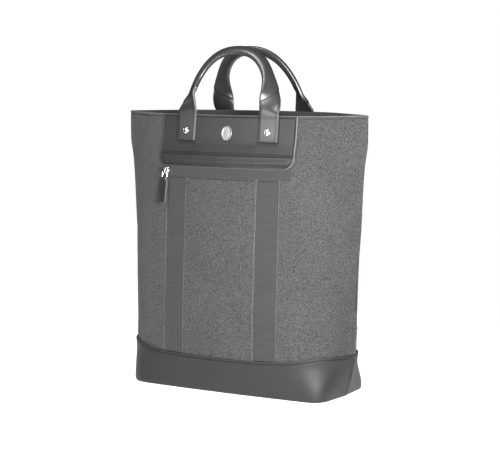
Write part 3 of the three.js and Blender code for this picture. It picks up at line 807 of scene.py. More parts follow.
def mouth_facing(side, word):
    middle = -CLOTH - 2 * GAP - FACING / 2

    def spots(down, station):
        at = partial(station_spot, side, station)
        z = rim_at(side, at(BAG_HEIGHT).x) - FACING_DROP - down
        roll = edge_roll(min(down, FACING_HEIGHT - down), FACING / 2)
        roll *= seam_roll(seam_distance(side, station, z))
        wave = 0.25 * roll * (ripple(at(z).x, z, 20, 5) - 1)
        return at(z, middle + roll * FACING / 2), at(z, middle - roll * FACING / 2 + wave)

    heights = [0, 0.15, 0.4] + steps(0.7, FACING_HEIGHT - 0.7, 14) + [FACING_HEIGHT - 0.2, FACING_HEIGHT]
    shape = sheet(heights, body_stations(steps(0, FLAT_END, 10)), spots)
    make_piece(f"{word}_mouth_facing", shape, [lining_and_gap_shade_look], [f"facing_{word}"])


# Leather base

BASE_STITCH = 3.9
BASE_MEASURED = 50
HEEL_ZONE = 8
RIM_ZONE = 9
BASE_ROWS = up_then_down(
    [0, 0.2, 0.7, 1.5, 2.6, 4, 5.2, 6.5] + steps(HEEL_ZONE, BASE_HEIGHT - RIM_ZONE, 18),
    (8, 6.4, 5.3, 4.7, 4.3, 3.9, 3.5, 3.1, 2.5, 1.9, 1.3, 0.8, 0.4, 0.12, 0),
)
FLOOR_ROWS = ((0, 1.2), (0.2, 0.5), (0.7, 0.1), (1.3, 0), (2.0, 0.1), (2.4, 0.5), (2.6, 1.2))


def heel_offset(z):
    t = clamp(1 - z / HEEL_TURN)
    return -HEEL_INSET * (1 - math.sqrt(1 - t * t))


def base_relief(side, x, z, distance):
    top = base_top_at(x)
    soft = 0.7 * ripple(x, z, 48, 21 + side) + 0.25 * ripple(x * 0.6, z, 14, 23 + side)
    relief = soft * smooth((top - z) / 12) * smooth(z / 14) * smooth(distance / 10)
    relief += 0.45 * bump(top - z - 1.6, 1.7) - 0.35 * bump(top - z - BASE_STITCH, 1.0)
    return relief + 0.55 * bump(distance - 1.8, 1.7)


def corner_push(station, z):
    """How far a corner of the base stands out of the body's rounder one, most at the right."""
    zone, value, hand = station
    if zone != "corner":
        return 0.0
    push = CORNER_PUSH if hand > 0 else 0.15 * CORNER_PUSH
    return push * math.sin(math.pi * value) ** 2 * smooth((0.9 * BASE_HEIGHT - z) / (0.7 * BASE_HEIGHT))


def base_wall(side, word):
    def spots(row, station):
        at = partial(station_spot, side, station)
        kind, value = row
        top = base_top_at(at(value if kind == "up" else BASE_MEASURED).x)
        z = top - value
        if kind == "up":
            share = (value - HEEL_ZONE) / (BASE_HEIGHT - HEEL_ZONE - RIM_ZONE)
            z = value if share <= 0 else mix(HEEL_ZONE, top - RIM_ZONE, share)
        distance = seam_distance(side, station, z)
        roll = edge_roll(top - z, LEATHER / 2) * seam_roll(distance) * edge_roll(z, 0.4)
        centre = GAP + LEATHER / 2 + heel_offset(z)
        relief = roll * base_relief(side, at(z).x, z, distance) + corner_push(station, z)
        return at(z, centre + roll * LEATHER / 2 + relief), at(z, centre - roll * LEATHER / 2)

    shape = sheet(BASE_ROWS, body_stations(steps(0, FLAT_END, 26)), spots)
    picks = sheet_picks(*shape, lambda point: 0)
    looks = [base_look, lining_and_gap_shade_look]
    make_piece(f"{word}_base_leather", shape, looks, [f"base_{word}"], picks)


def floor_panel():
    stations = body_stations(steps(0, FLAT_END, 8))
    around = [(FRONT, s) for s in stations] + [(BACK, s) for s in reversed(stations)]
    rings = []
    for z, inset in FLOOR_ROWS:
        lift = Vector((0, 0, z))
        rings.append([station_spot(side, s, 0, -HEEL_INSET - inset) + lift for side, s in around])
    make_piece("leather_floor", loft(rings), [base_look], ["base_floor"])


# Yoke

SLIT = BAG_HEIGHT - FOOT_HEIGHT
YOKE_OUT = GAP + YOKE_LEATHER
YOKE_STITCH = 3.6
SLIT_STITCH = 4.6
CREASE_STITCH = 2.6
HEM_ROWS = (5.4, 4.6, 4, 3.6, 3.1, 2.5, 1.9, 1.3, 0.8, 0.4, 0.1, 0)
YOKE_NEAR = (
    (YOKE_FOOT, (0, 0.12, 0.4, 0.8, 1.2, 1.8, 2.5, 3.1, 3.6, 4.2, 4.9)),
    (BAND_FOOT, (0, 0.4, 0.9, 1.4, 2, 2.7, 4.5, 7, 9.5, 11.9, 12.6, 13.2, 13.7, 14.2, 14.6)),
    (BAND_TOP, (0.4, 0.8, 1.3, 2.3, 3.5)),
    (SLIT, (-7, -5.6, -4.6, -3.8, -3, -2.4, -1.9, -1.3, -0.7, -0.2, 0.4, 1.2, 3)),
)
EDGE_SHOWS = 1.0
YOKE_SIDE = (10, 8, 6.8, 6, 5.2, 4.6, 4, 3.5, 3, 2.4, 1.8, 1.2, 0.8, 0.4, 0.12, 0)
FOOT_SIDE = (-5, -3, -1, 0, 1, 3)


def yoke_edge(x, z):
    return rounded_distance(x, z, YOKE_HALF, YOKE_FOOT, rim_at(FRONT, x), YOKE_CORNER)


def hem(away):
    """The raised edge of a yoke and the groove that its stitches pull."""
    return 0.4 * bump(away - 1.5, 1.5) - 0.3 * bump(away - YOKE_STITCH, 0.9)


def yoke_relief(x, z):
    edge = yoke_edge(x, z)
    band_half = rounded_half(YOKE_HALF - BAND_INSET, BAND_FOOT, BAND_CORNER, max(z, BAND_FOOT))
    inside = min(band_half - abs(x), z - BAND_FOOT, BAND_TOP - z)
    relief = BAND_RISE * smooth(inside / BAND_EDGE) + 0.35 * smooth(inside / 7)
    relief += hem(edge) - 1.3 * bump(z - BAND_TOP - 0.8, 1.7)
    near = smooth((5 - abs(abs(x) - HANDLE_HALF) + FOOT_WIDTH / 2) / 4)
    relief += near * (0.7 * bump(z - SLIT + 2.0, 1.6) - 0.5 * bump(z - SLIT - 0.2, 0.9))
    relief -= near * 0.3 * bump(z - SLIT + SLIT_STITCH, 1.0)
    plain = smooth((z - BAND_TOP - 4) / 8) * smooth(edge / 8)
    return relief + 0.35 * plain * ripple(x, z, 34, 31)


def yoke_rows():
    """Heights over the yoke's foot, close together at the band, the crease and the slit."""
    slit = SLIT - YOKE_FOOT
    near = [spot - YOKE_FOOT + d for spot, offsets in YOKE_NEAR for d in offsets]
    return sorted(near + steps(BAND_TOP - YOKE_FOOT + 6, slit - 8, 3) + steps(slit + 6, 70, 6))


def yoke_columns():
    """Shares across half the yoke, close together beside the handle's foot and at the side."""
    foot = [HANDLE_HALF - FOOT_WIDTH / 2 + d for d in FOOT_SIDE]
    foot += [HANDLE_HALF + FOOT_WIDTH / 2 - d for d in FOOT_SIDE]
    shares = {0, 0.1, 0.2, 0.3, 0.4, 0.53, 0.6, 0.67, 0.82, 0.87}
    shares |= {x / YOKE_HALF for x in foot} | {1 - d / YOKE_HALF for d in YOKE_SIDE}
    return sorted(shares)


def yoke():
    def place(u, row):
        kind, value = row
        if kind == "up":
            z = YOKE_FOOT + value
            return u * rounded_half(YOKE_HALF, YOKE_FOOT, YOKE_CORNER, z), z
        x = u * YOKE_HALF
        return x, rim_at(FRONT, x) - value

    rows = up_then_down(yoke_rows(), (7, *HEM_ROWS))
    columns = mirrored(yoke_columns())
    shape = body_sheet(FRONT, columns, rows, place, GAP, YOKE_LEATHER, yoke_relief, yoke_edge)
    # The yoke's edge band takes the paler edge leather: edge paint and a painted highlight.
    picks = pick_faces(*shape, lambda point: int(yoke_edge(point.x, point.z) < EDGE_SHOWS))
    make_piece("yoke_leather", shape, [yoke_look, edge_paint_and_highlight_look], ["yoke"], picks)


def back_yoke():
    foot = BAG_HEIGHT - BACK_YOKE_HEIGHT
    us = [d - YOKE_HALF for d in edge_steps(2 * YOKE_HALF, YOKE_LEATHER / 2, 50)]
    vs = [0, 0.1, 0.4, 0.9, 1.4, 2, 2.6, 3.2, 3.7, 4.4] + steps(6, BACK_YOKE_HEIGHT - 8, 14)
    vs += [BACK_YOKE_HEIGHT - d for d in HEM_ROWS]

    def place(x, v):
        return x, foot + v * (rim_at(BACK, x) - foot) / BACK_YOKE_HEIGHT

    def edge(x, z):
        return min(YOKE_HALF - abs(x), z - foot, rim_at(BACK, x) - z)

    def relief(x, z):
        away = edge(x, z)
        return 0.3 * smooth(away / 8) * ripple(x, z, 30, 41) + hem(away)

    shape = body_sheet(BACK, us, vs, place, GAP, YOKE_LEATHER, relief, edge)
    make_piece("back_yoke_leather", shape, [yoke_look], ["back_yoke"])


# Zip strip under the yoke

TAPE_LINES = (3.0, 5.6, 8.4, 11.2)


def zip_strip():
    top = YOKE_FOOT - GAP

    def relief(x, z):
        down = YOKE_FOOT - z
        return sum(-0.35 * bump(down - line, 0.7) for line in TAPE_LINES) + 0.25 * bump(down - 7, 1.2)

    def place(u, z):
        return u * rounded_half(TAPE_HALF, TAPE_FOOT, TAPE_CORNER, z), z

    def edge(x, z):
        return rounded_distance(x, z, TAPE_HALF, TAPE_FOOT, top, TAPE_CORNER)

    rows = {0, 0.1, 0.4, 0.8, 1.6, 7, 12.6, 13.3, 13.6, 13.7}
    rows |= {14 - line + d for line in TAPE_LINES for d in (-0.7, -0.35, 0, 0.35, 0.7)}
    vs = [TAPE_FOOT + r * (top - TAPE_FOOT) / 13.7 for r in sorted(rows)]
    shares = steps(0, 0.9, 22) + [1 - d / TAPE_HALF for d in (9, 7, 5, 3.5, 2.2, 1.2, 0.7, 0.3, 0.1, 0)]
    shape = body_sheet(FRONT, mirrored(shares), vs, place, GAP, WEBBING, relief, edge)
    make_piece("zip_strip", shape, [strip_look], ["zip_tape"])


# Webbing strips

RIB_PITCH = 2.6
RIB_RISE = 0.22
STRIP_LAY = -0.5
STRIP_HEM = 0.7
STRIP_COLUMNS = (0, 0.12, 0.35, 0.8, 2, 5, 9, 13, 17, 21, 25, 29, 32, 33.2, 33.65, 33.88, 34)


def webbing_strip(hand, word):
    foot = base_top_at(STRIP_MIDDLE) + GAP + 0.3
    height = TAPE_FOOT - GAP - foot
    count = int(height / RIB_PITCH)
    pitch = (height - 2 * STRIP_HEM) / count
    vs = [0, 0.12, 0.4]
    for i in range(count):
        vs += [STRIP_HEM + (i + d) * pitch for d in (0, 0.25, 0.5, 0.75)]
    vs += [height - STRIP_HEM, height - 0.3, height]

    def place(u, v):
        return hand * STRIP_MIDDLE + u - STRIP_HALF, foot + v

    def edge(x, z):
        return min(-from_strip(x), z - foot, foot + height - z)

    def relief(x, z):
        rib = RIB_RISE * math.cos(2 * math.pi * (z - foot - STRIP_HEM) / pitch)
        return rib + 0.2 * bump(from_strip(x) + 1.2, 1.0)

    shape = body_sheet(FRONT, STRIP_COLUMNS, vs, place, STRIP_LAY, WEBBING, relief, edge)
    make_piece(f"{word}_webbing_strip", shape, [strip_look], [f"strip_{word}"])


# Handles

GRIP_TABLE = (
    (-0.5, 1, 0),
    (0.02, 1, 0),
    (0.1, 1, 0.3),
    (0.22, 0.95, 0.7),
    (0.33, 0.78, 1),
    (0.43, 0.5, 1),
    (0.6, 0.1, 1),
    (0.75, 0, 1),
    (1.0, 0, 1),
)
FOOT_SHARES = (1, 0.995, 0.985, 0.96, 0.9, 0.8, 0.68, 0.52, 0.36, 0.24, 0.12)
ARCH_STEPS = 84
HANDLE_SIDES = 32
HANDLE_ENDS = (0.7, 0.9)
FOOT_SQUARENESS = 0.22
CUT_REACH = 0.88
CUT_FLAT = 0.62
PULL_CUT_REACH = 0.9

# A stop is one cross-section along a handle or strap
Stop = namedtuple(
    "Stop", "centre across out width thickness squareness along flat", defaults=(1, None, 0)
)


def handle_path(side):
    out = YOKE_OUT + GAP + FOOT_LEATHER / 2
    foot = [skin(side, HANDLE_HALF, BAG_HEIGHT - s * FOOT_HEIGHT, out) for s in FOOT_SHARES]
    spring_z = BAG_HEIGHT + BACK_RIM_RISE
    spring_x = skin(side, HANDLE_HALF, BAG_HEIGHT, out).x
    arch = []
    for angle in steps(0, math.pi, ARCH_STEPS):
        rise = math.sin(angle)
        x = -spring_x * rounded(math.cos(angle), ARCH_SQUARENESS)
        z = mix(spring_z, BAG_HEIGHT + HANDLE_RISE, rise)
        arch.append(Vector((x, mix(foot[-1].y, side * APEX_Y, rise), z)))
    left = [Vector((-p.x, p.y, p.z)) for p in foot]
    return left + arch + list(reversed(foot))


def handle_stops(side):
    """Stops all along a handle, flat at its feet and round at its grip."""
    path = handle_path(side)
    nx, ny = quarter(side, RIVET_HEIGHT).at_x(HANDLE_HALF)[2:]
    foot_tilt = math.atan2(nx, -ny)
    stops = []
    for i, centre in enumerate(path):
        along = heading(path, i)
        face = square_to(Vector((0, side, 0)), along)
        outward = (face.cross(along) * -side).normalized()
        flat, turn = curve_through(GRIP_TABLE, (centre.z - BAG_HEIGHT) / HANDLE_RISE)
        tilt = mix(foot_tilt, GRIP_TILT, turn)
        out = face * math.cos(tilt) + outward * math.sin(tilt)
        width = mix(GRIP_WIDTH, FOOT_WIDTH, flat)
        thickness = mix(GRIP_THICKNESS, FOOT_LEATHER, flat)
        squareness = mix(1, FOOT_SQUARENESS, flat)
        stops.append(Stop(centre, along.cross(out), out, width, thickness, squareness, along, flat))
    return stops


def cut_edges(faces, sides, reach, flat_at=lambda ring: True):
    """1 for the ends and the two cut edges of a lofted strap, 0 for its faces."""
    picks = []
    for face in faces:
        ring, spot = divmod(min(face), sides)
        beside = abs(math.cos(2 * math.pi * (spot + 1) / sides)) > reach
        picks.append(int(len(face) > 4 or (beside and flat_at(ring))))
    return picks


def handle(side, word):
    stops = handle_stops(side)
    rings = []
    for i, stop in enumerate(stops):
        from_end = min(i, len(stops) - 1 - i)
        shrink = HANDLE_ENDS[from_end] if from_end < len(HANDLE_ENDS) else 1.0
        size = stop.width - 0.6 * (1 - shrink), stop.thickness * shrink
        rings.append(ring_at(*stop[:3], *size, HANDLE_SIDES, stop.squareness))
    shape = loft(rings)
    # The cut edges of the handle's feet take the paler edge leather: edge paint and a painted highlight.
    picks = cut_edges(shape[1], HANDLE_SIDES, CUT_REACH, lambda ring: stops[ring].flat > CUT_FLAT)
    looks = [handle_look, edge_paint_and_highlight_look]
    make_piece(f"{word}_handle_leather", shape, looks, [f"handle_{word}"], picks)


# Grip cover: the leather that is folded round the grip, cut at a slant at each end

COVER_LOW = 0.16
COVER_HIGH = 0.38
COVER_LIFT = 0.8
COVER_LENGTH = 260
COVER_TURN = 1.2
COVER_POINTS = 24
COVER_COLUMNS = 120
HANDLE_STITCH = 3


def cover_section():
    """Share across, from 1 to -1 and back, and the face of each point round the cover."""
    angles = [math.pi / 2 * (1 - 2 * (i + 0.5) / COVER_POINTS) for i in range(COVER_POINTS)]
    shares = [math.sin(angle) for angle in angles]
    return [(share, 1) for share in shares] + [(share, -1) for share in reversed(shares)]


def cover_place(arch, rise):
    """Where along the arch a handle first passes a share of its rise."""
    heights = [(stop.centre.z - BAG_HEIGHT) / HANDLE_RISE for stop in arch]
    for i, (a, b) in enumerate(zip(heights, heights[1:])):
        if a <= rise <= b:
            return i + (rise - a) / (b - a)
    return 0.0


def cover_cut(arch, share):
    """Where the two slanting ends of a grip cover cross one line along the handle."""
    slant = (1 - share) / 2
    left = cover_place(arch, mix(COVER_HIGH, COVER_LOW, slant))
    right = cover_place(arch[::-1], mix(COVER_LOW, COVER_HIGH, slant))
    return left, len(arch) - 1 - right


def cover_point(arch, at, share, face, grow):
    """A point on the cover's outside, between two stops of the arch."""
    a, b = arch[int(at)], arch[int(at) + 1]
    t = at - int(at)
    centre, across, out = (a[n].lerp(b[n], t) for n in range(3))
    width, thickness, squareness = (mix(a[n], b[n], t) for n in range(3, 6))
    height = (1 - abs(share) ** (2 / squareness)) ** (squareness / 2)
    up = face * height * (thickness / 2 + grow)
    return centre + across * (share * (width / 2 + grow)) + out * up


def grip_cover(side, word):
    count = len(FOOT_SHARES)
    arch = handle_stops(side)[count:count + ARCH_STEPS + 1]
    section = [(share, face, *cover_cut(arch, share)) for share, face in cover_section()]
    rings = []
    for k in range(COVER_COLUMNS + 1):
        from_end = min(k, COVER_COLUMNS - k) / COVER_COLUMNS * COVER_LENGTH
        grow = COVER_LIFT * edge_roll(from_end, COVER_TURN)
        ring = []
        for share, face, left, right in section:
            at = clamp(mix(left, right, k / COVER_COLUMNS), 0, len(arch) - 1.001)
            ring.append(cover_point(arch, at, share, face, grow))
        rings.append(ring)
    make_piece(f"{word}_grip_cover", loft(rings), [handle_look])


# Rivets and the bare badge plate

RIVET_PROFILE = (
    (4.6, 0.0), (5.0, 0.15), (5.0, 0.5), (4.85, 0.8), (4.6, 0.95), (4.35, 0.95), (4.2, 0.85),
    (4.05, 1.0), (3.7, 1.4), (3.2, 1.78), (2.5, 2.1), (1.7, 2.3), (0.9, 2.39), (0.2, 2.4),
)
PLATE_PROFILE = (
    (9.0, 0.0), (9.0, 1.2), (8.85, 1.7), (8.55, 2.1), (8.2, 2.3), (7.85, 2.2), (7.5, 1.8),
    (7.25, 1.6), (6.0, 1.62), (4.0, 1.68), (2.0, 1.74), (0.4, 1.76),
)
PLATE_MIDDLE = BAG_HEIGHT - 29.5
PLATE_STRETCH = 2.5


def seat(side, x, z, offset):
    """Origin, across, out and up of a small part on the skin."""
    out = skin_normal(side, x, z)
    up = (skin(side, x, z + 1) - skin(side, x, z - 1)).normalized()
    return skin(side, x, z, offset), up.cross(out).normalized(), out, up


def turned(place, profile, sides, stretch=0.0):
    """A round or oval shape: profile lists radius and height out of the surface."""
    origin, across, out, up = place
    rings = []
    for radius, height in profile:
        ring = []
        for i in range(sides):
            angle = 2 * math.pi * i / sides
            x = radius * math.cos(angle)
            z = (radius + stretch) * math.sin(angle)
            ring.append(origin + out * height + across * x + up * z)
        rings.append(ring)
    return loft(rings)


def rivets(side, name):
    for hand, word in HANDS:
        place = seat(side, hand * HANDLE_HALF, RIVET_HEIGHT, YOKE_OUT + GAP + FOOT_LEATHER + 0.1)
        shape = turned(place, RIVET_PROFILE, 36)
        make_piece(f"{name}_{word}_rivet", shape, [nickel_look], [f"rivet_{name}_{word}"])


def badge():
    place = seat(FRONT, 0, PLATE_MIDDLE, YOKE_OUT + GAP)
    shape = turned(place, PLATE_PROFILE, 64, PLATE_STRETCH)
    make_piece("oval_plate", shape, [plate_look], ["badge_plate"])


# Zip slider, loop and pull

SLIDER_X = 16 - TAPE_HALF
SLIDER_Z = (TAPE_FOOT + YOKE_FOOT) / 2
SLIDER_TABLE = (
    (0.0, 7.4, 10.2, 0, 0.7), (0.3, 8.2, 11.0, 0, 0.7), (0.9, 8.4, 11.2, 0, 0.7),
    (1.3, 8.0, 10.8, 0, 0.75), (1.45, 6.4, 9.6, 0, 0.8), (1.9, 6.2, 9.2, 0, 0.8),
    (2.2, 7.4, 10.0, 0.2, 0.8), (2.7, 7.6, 10.2, 0.2, 0.8), (3.1, 7.0, 9.6, 0.2, 0.85),
    (3.3, 5.4, 8.2, 0.3, 0.9),
)
BRIDGE_FOOT = 2.6
BRIDGE_RISE = 4.0
BRIDGE_HALF = 4.4
BRIDGE_SIZE = (3.8, 1.3)
LOOP_OUT = 4.6
LOOP_HALF = (4.5, 6.7)
LOOP_WIRE = 0.8
PULL_TABLE = (
    (0.0, 6.2, 4.0), (2.2, 6.4, 4.4), (4.0, 8.4, 3.8), (6.5, 11.4, 3.2), (10, 12, 3.0),
    (20, 12, 2.9), (32, 12, 2.9), (36.5, 11.4, 2.5), (38.6, 9.4, 2.2), (39.6, 6.0, 1.4),
)
PULL_START = 10.6
PULL_LEAN = 0.012
PULL_SIDES = 28
PULL_ROWS = 60


def slider_seat():
    return seat(FRONT, SLIDER_X, SLIDER_Z, GAP + WEBBING + GAP)


def zip_slider():
    """The slider's body, lofted outward, with the bridge that holds the loop."""
    origin, across, out, up = slider_seat()
    rings = []
    for height, width, length, lift, squareness in SLIDER_TABLE:
        centre = origin + out * height + up * lift
        rings.append(ring_at(centre, across, up, width, length, 28, squareness))
    path = []
    for angle in steps(0, math.pi, 12):
        height = BRIDGE_FOOT + BRIDGE_RISE * max(math.sin(angle), 0.0) ** 0.8
        path.append(origin + up * (BRIDGE_HALF * math.cos(angle)) + out * height)
    bridge = []
    for i, point in enumerate(path):
        outward = across.cross(heading(path, i)).normalized()
        bridge.append(ring_at(point, across, outward, *BRIDGE_SIZE, 10, 0.6))
    shape = joined([loft(rings), loft(bridge)])
    make_piece("zip_slider_body", shape, [nickel_look], ["zip_slider"])


def wire_ring(path, radius, sides=10):
    """A round wire along a closed path."""
    rings = []
    side = None
    for i, point in enumerate(path):
        along = (path[(i + 1) % len(path)] - path[i - 1]).normalized()
        side = square_to(side, along) if side else along.orthogonal().normalized()
        rings.append(ring_at(point, side, along.cross(side), 2 * radius, 2 * radius, sides, 1))
    return loft(rings + rings[:1], False)


def zip_loop():
    origin, across, out, up = slider_seat()
    half_width, half_height = LOOP_HALF
    centre = origin + out * LOOP_OUT - up * half_height
    path = []
    for i in range(40):
        angle = 2 * math.pi * i / 40
        x = rounded(math.cos(angle), 0.6) * half_width
        z = rounded(math.sin(angle), 0.6) * half_height
        path.append(centre + across * x + up * z)
    make_piece("zip_loop_ring", wire_ring(path, LOOP_WIRE), [nickel_look], ["zip_loop"])


def zip_pull():
    origin, across, out, up = slider_seat()
    rings = []
    for down in steps(0, PULL_TABLE[-1][0], PULL_ROWS):
        size = curve_through(PULL_TABLE, down)
        centre = origin + out * (LOOP_OUT - PULL_LEAN * down) - up * (PULL_START + down)
        rings.append(ring_at(centre, across, out, *size, PULL_SIDES, 0.3))
    shape = loft(rings)
    # The pull's cut edges take the paler edge leather: edge paint and a painted highlight.
    picks = cut_edges(shape[1], PULL_SIDES, PULL_CUT_REACH)
    looks = [handle_look, edge_paint_and_highlight_look]
    make_piece("zip_pull_leather", shape, looks, ["zip_pull"], picks)


# Shoulder straps on the back

STRAP_TABLE = (
    (0.45, 0.417, 0.5, 0.6, 0),
    (0.471, 0.396, 0.58, 0.74, 0.4),
    (0.495, 0.37, 0.7, 0.88, 0.8),
    (0.536, 0.332, 0.86, 0.96, 1),
    (0.583, 0.299, 1, 1, 1),
    (0.643, 0.265, 1, 1, 1),
    (0.714, 0.237, 0.8, 1, 1),
    (0.798, 0.213, 0.4, 1, 1),
    (0.838, 0.2, 0.12, 0.94, 0.6),
    (0.866, 0.2, 0, 0.86, 0),
)
STRAP_WIDTH = 58.0
STRAP_PAD = 9.0
STRAP_END = 3.2
STRAP_BOW = 26.0
STRAP_CLEAR = 0.6
STRAP_ROWS = 90
STRAP_TURN = 1.6
STRAP_LENGTH = 190
BINDING_WIDTH = 5.6
BINDING_INSET = 2.2
STRAP_STITCH = 4.2
STRAP_COLUMNS = [-1, -0.995, -0.98, -0.95] + steps(-0.92, 0.92, 44) + [0.95, 0.98, 0.995, 1]
BUCKLE_WIDTH = 36.0
BUCKLE_HEIGHT = 26.0
BUCKLE_BAR = 5.0
RAIL_THICKNESS = 3.6
RUNG_THICKNESS = 3.2
RAIL_PAST = 2.4
BAR_TABLE = ((0, 0.55), (0.03, 0.9), (0.1, 1), (0.5, 1), (0.9, 1), (0.97, 0.9), (1, 0.55))
WEBBING_WIDTH = 25.0
WEBBING_COLUMNS = [-1, -0.99, -0.97, -0.93] + steps(-0.88, 0.88, 12) + [0.93, 0.97, 0.99, 1]
TAB_TOP = 0.31 * BAG_HEIGHT
TAB_INNER = 0.61 * HALF_MOUTH
TAB_LEAN = 0.75
TAB_WIDTH = 44.0
TAB_HEIGHT = 34.0
TAB_LEATHER = 2.4
TAB_STITCH = 3.4
TAB_LEAD = 12
TAB_FINE = [0, 0.12, 0.5, 1.2, 1.8, 2.5, 3.1, 3.7, 4.4]


def strap_stop(hand, height):
    """Centre, out, width and thickness of a strap at a share of the bag's height."""
    spread, lift, width, pad = curve_through(STRAP_TABLE, height)
    thickness = mix(STRAP_END, STRAP_PAD, pad)
    x = hand * HALF_MOUTH * spread
    z = height * (BAG_HEIGHT - BACK_YOKE_HEIGHT) / STRAP_TABLE[-1][0]
    offset = STRAP_CLEAR + thickness / 2 + lift * STRAP_BOW
    centre = skin(BACK, x, z - 2 * GAP, offset)
    return centre, skin(BACK, x, z, 1) - skin(BACK, x, z, 0), width * STRAP_WIDTH, thickness


def strap_stops(hand):
    heights = steps(STRAP_TABLE[0][0], STRAP_TABLE[-1][0], STRAP_ROWS)
    rows = [strap_stop(hand, height) for height in heights]
    path = [row[0] for row in rows]
    stops = []
    for i, (centre, out, width, thickness) in enumerate(rows):
        along = heading(path, i)
        out = square_to(out, along)
        stops.append(Stop(centre, along.cross(out), out, width, thickness, along=along))
    return stops


def pad_section(share):
    """Thickness of the pad across its width, as shares: thin bound edges, crowned middle."""
    crown = 0.34 + 0.66 * smooth((1 - abs(share)) / 0.3)
    return crown - 0.16 * bump(abs(share) - 0.36, 0.05)


def binding_height(stop):
    return max(STRAP_END, stop.thickness * 0.42) + 1.0


def shoulder_strap(hand, word):
    stops = strap_stops(hand)

    def spots(i, s):
        stop = stops[i]
        half = stop.thickness / 2
        end = min(i, len(stops) - 1 - i) / len(stops) * STRAP_LENGTH
        roll = edge_roll((1 - abs(s)) * stop.width / 2, STRAP_TURN) * edge_roll(end, STRAP_TURN)
        fill = max(pad_section(s), STRAP_END / stop.thickness)
        quilt = 0.12 * ripple(stop.centre.z, s * 30, 14, 51) * (stop.thickness > 5)
        down = roll * half * max(fill * 0.92, STRAP_END / stop.thickness)
        spot = stop.centre + stop.across * (s * stop.width / 2)
        return spot + stop.out * (roll * (half * fill + quilt)), spot - stop.out * down

    shape = sheet(range(len(stops)), STRAP_COLUMNS, spots)
    name = f"{word}_shoulder_strap_pad"
    piece = make_piece(name, shape, [pad_look], [f"shoulder_strap_{word}"])


def strap_binding(hand, word):
    """Binding along both long edges of a strap."""
    edges = []
    for s in (-1, 1):
        rings = []
        for stop in strap_stops(hand)[2:-2]:
            spot = stop.centre + stop.across * (s * (stop.width / 2 - BINDING_INSET))
            rings.append(ring_at(spot, stop.across, stop.out, BINDING_WIDTH, binding_height(stop), 14, 0.45))
        edges.append(loft(rings))
    make_piece(f"{word}_strap_binding", joined(edges), [strip_look])


def buckle_seat(hand):
    end = strap_stops(hand)[0]
    down = -end.along
    return end.centre + down * (GAP + BUCKLE_HEIGHT / 2), end.across, end.out, down


def buckle(hand, word):
    """A ladder buckle: a frame with two side rails and three bars."""
    centre, across, out, down = buckle_seat(hand)

    def bar(middle, reach, width, thickness):
        side = reach.normalized().cross(out).normalized()
        rings = []
        for t, size in BAR_TABLE:
            spot = (middle - reach).lerp(middle + reach, t)
            rings.append(ring_at(spot, side, out, width * size, thickness * size, 14, 0.5))
        return loft(rings)

    half_width = (BUCKLE_WIDTH - BUCKLE_BAR) / 2
    half_height = (BUCKLE_HEIGHT - BUCKLE_BAR) / 2
    bars = []
    for s in (-1, 1):
        rail = centre + across * (s * half_width)
        bars.append(bar(rail, down * (half_height + RAIL_PAST), BUCKLE_BAR, RAIL_THICKNESS))
    for s in (-1, 0, 1):
        rung = centre + down * (s * half_height)
        bars.append(bar(rung, across * half_width, BUCKLE_BAR * 0.92, RUNG_THICKNESS))
    shape = joined(bars)
    make_piece(f"{word}_ladder_buckle", shape, [plastic_look], [f"strap_buckle_{word}"])


def ribbed_ribbon(centres, outs):
    """Webbing along centres, each with its direction out, with ribs across it."""
    walked = [0.0]
    for a, b in zip(centres, centres[1:]):
        walked.append(walked[-1] + (b - a).length)

    def spots(i, s):
        along = heading(centres, i)
        out = square_to(outs[i], along)
        spot = centres[i] + along.cross(out) * (s * WEBBING_WIDTH / 2)
        end = min(walked[i], walked[-1] - walked[i])
        roll = edge_roll((1 - abs(s)) * WEBBING_WIDTH / 2, WEBBING / 2) * edge_roll(end, WEBBING / 2)
        rib = 0.12 * math.cos(2 * math.pi * walked[i] / RIB_PITCH)
        return spot + out * (roll * (WEBBING / 2 + rib)), spot - out * (roll * WEBBING / 2)

    return sheet(range(len(centres)), WEBBING_COLUMNS, spots)


def spline(points, count):
    """A smooth curve through a few points."""
    result = []
    ends = [points[0] * 2 - points[1]] + points + [points[-1] * 2 - points[-2]]
    for k in range(len(points) - 1):
        a, b, c, d = ends[k:k + 4]
        for i in range(count):
            t = i / count
            square = (a * 2 - b * 5 + c * 4 - d) * t * t
            cube = (b * 3 - a - c * 3 + d) * t ** 3
            result.append(0.5 * (b * 2 + (c - a) * t + square + cube))
    return result + [points[-1]]


def strap_webbing(hand, word):
    centre, _, out, down = buckle_seat(hand)
    start = centre + down * (GAP + BUCKLE_HEIGHT / 2)
    end_x = hand * TAB_INNER
    offset = GAP + TAB_LEATHER / 2
    end = skin(BACK, end_x, TAB_TOP + GAP, offset + GAP)
    lead = skin(BACK, end_x - hand * TAB_LEAN * TAB_LEAD, TAB_TOP + TAB_LEAD, offset + 2)
    centres = spline([start, start + down * 5, lead, end], 26)
    last = skin(BACK, end_x, TAB_TOP, 1) - skin(BACK, end_x, TAB_TOP, 0)
    shape = ribbed_ribbon(centres, [out.lerp(last, t) for t in steps(0, 1, len(centres) - 1)])
    make_piece(f"{word}_lower_webbing", shape, [strip_look], [f"strap_webbing_{word}"])


def tab_half(down):
    return mix(0.7, 1, down / TAB_HEIGHT) * TAB_WIDTH / 2


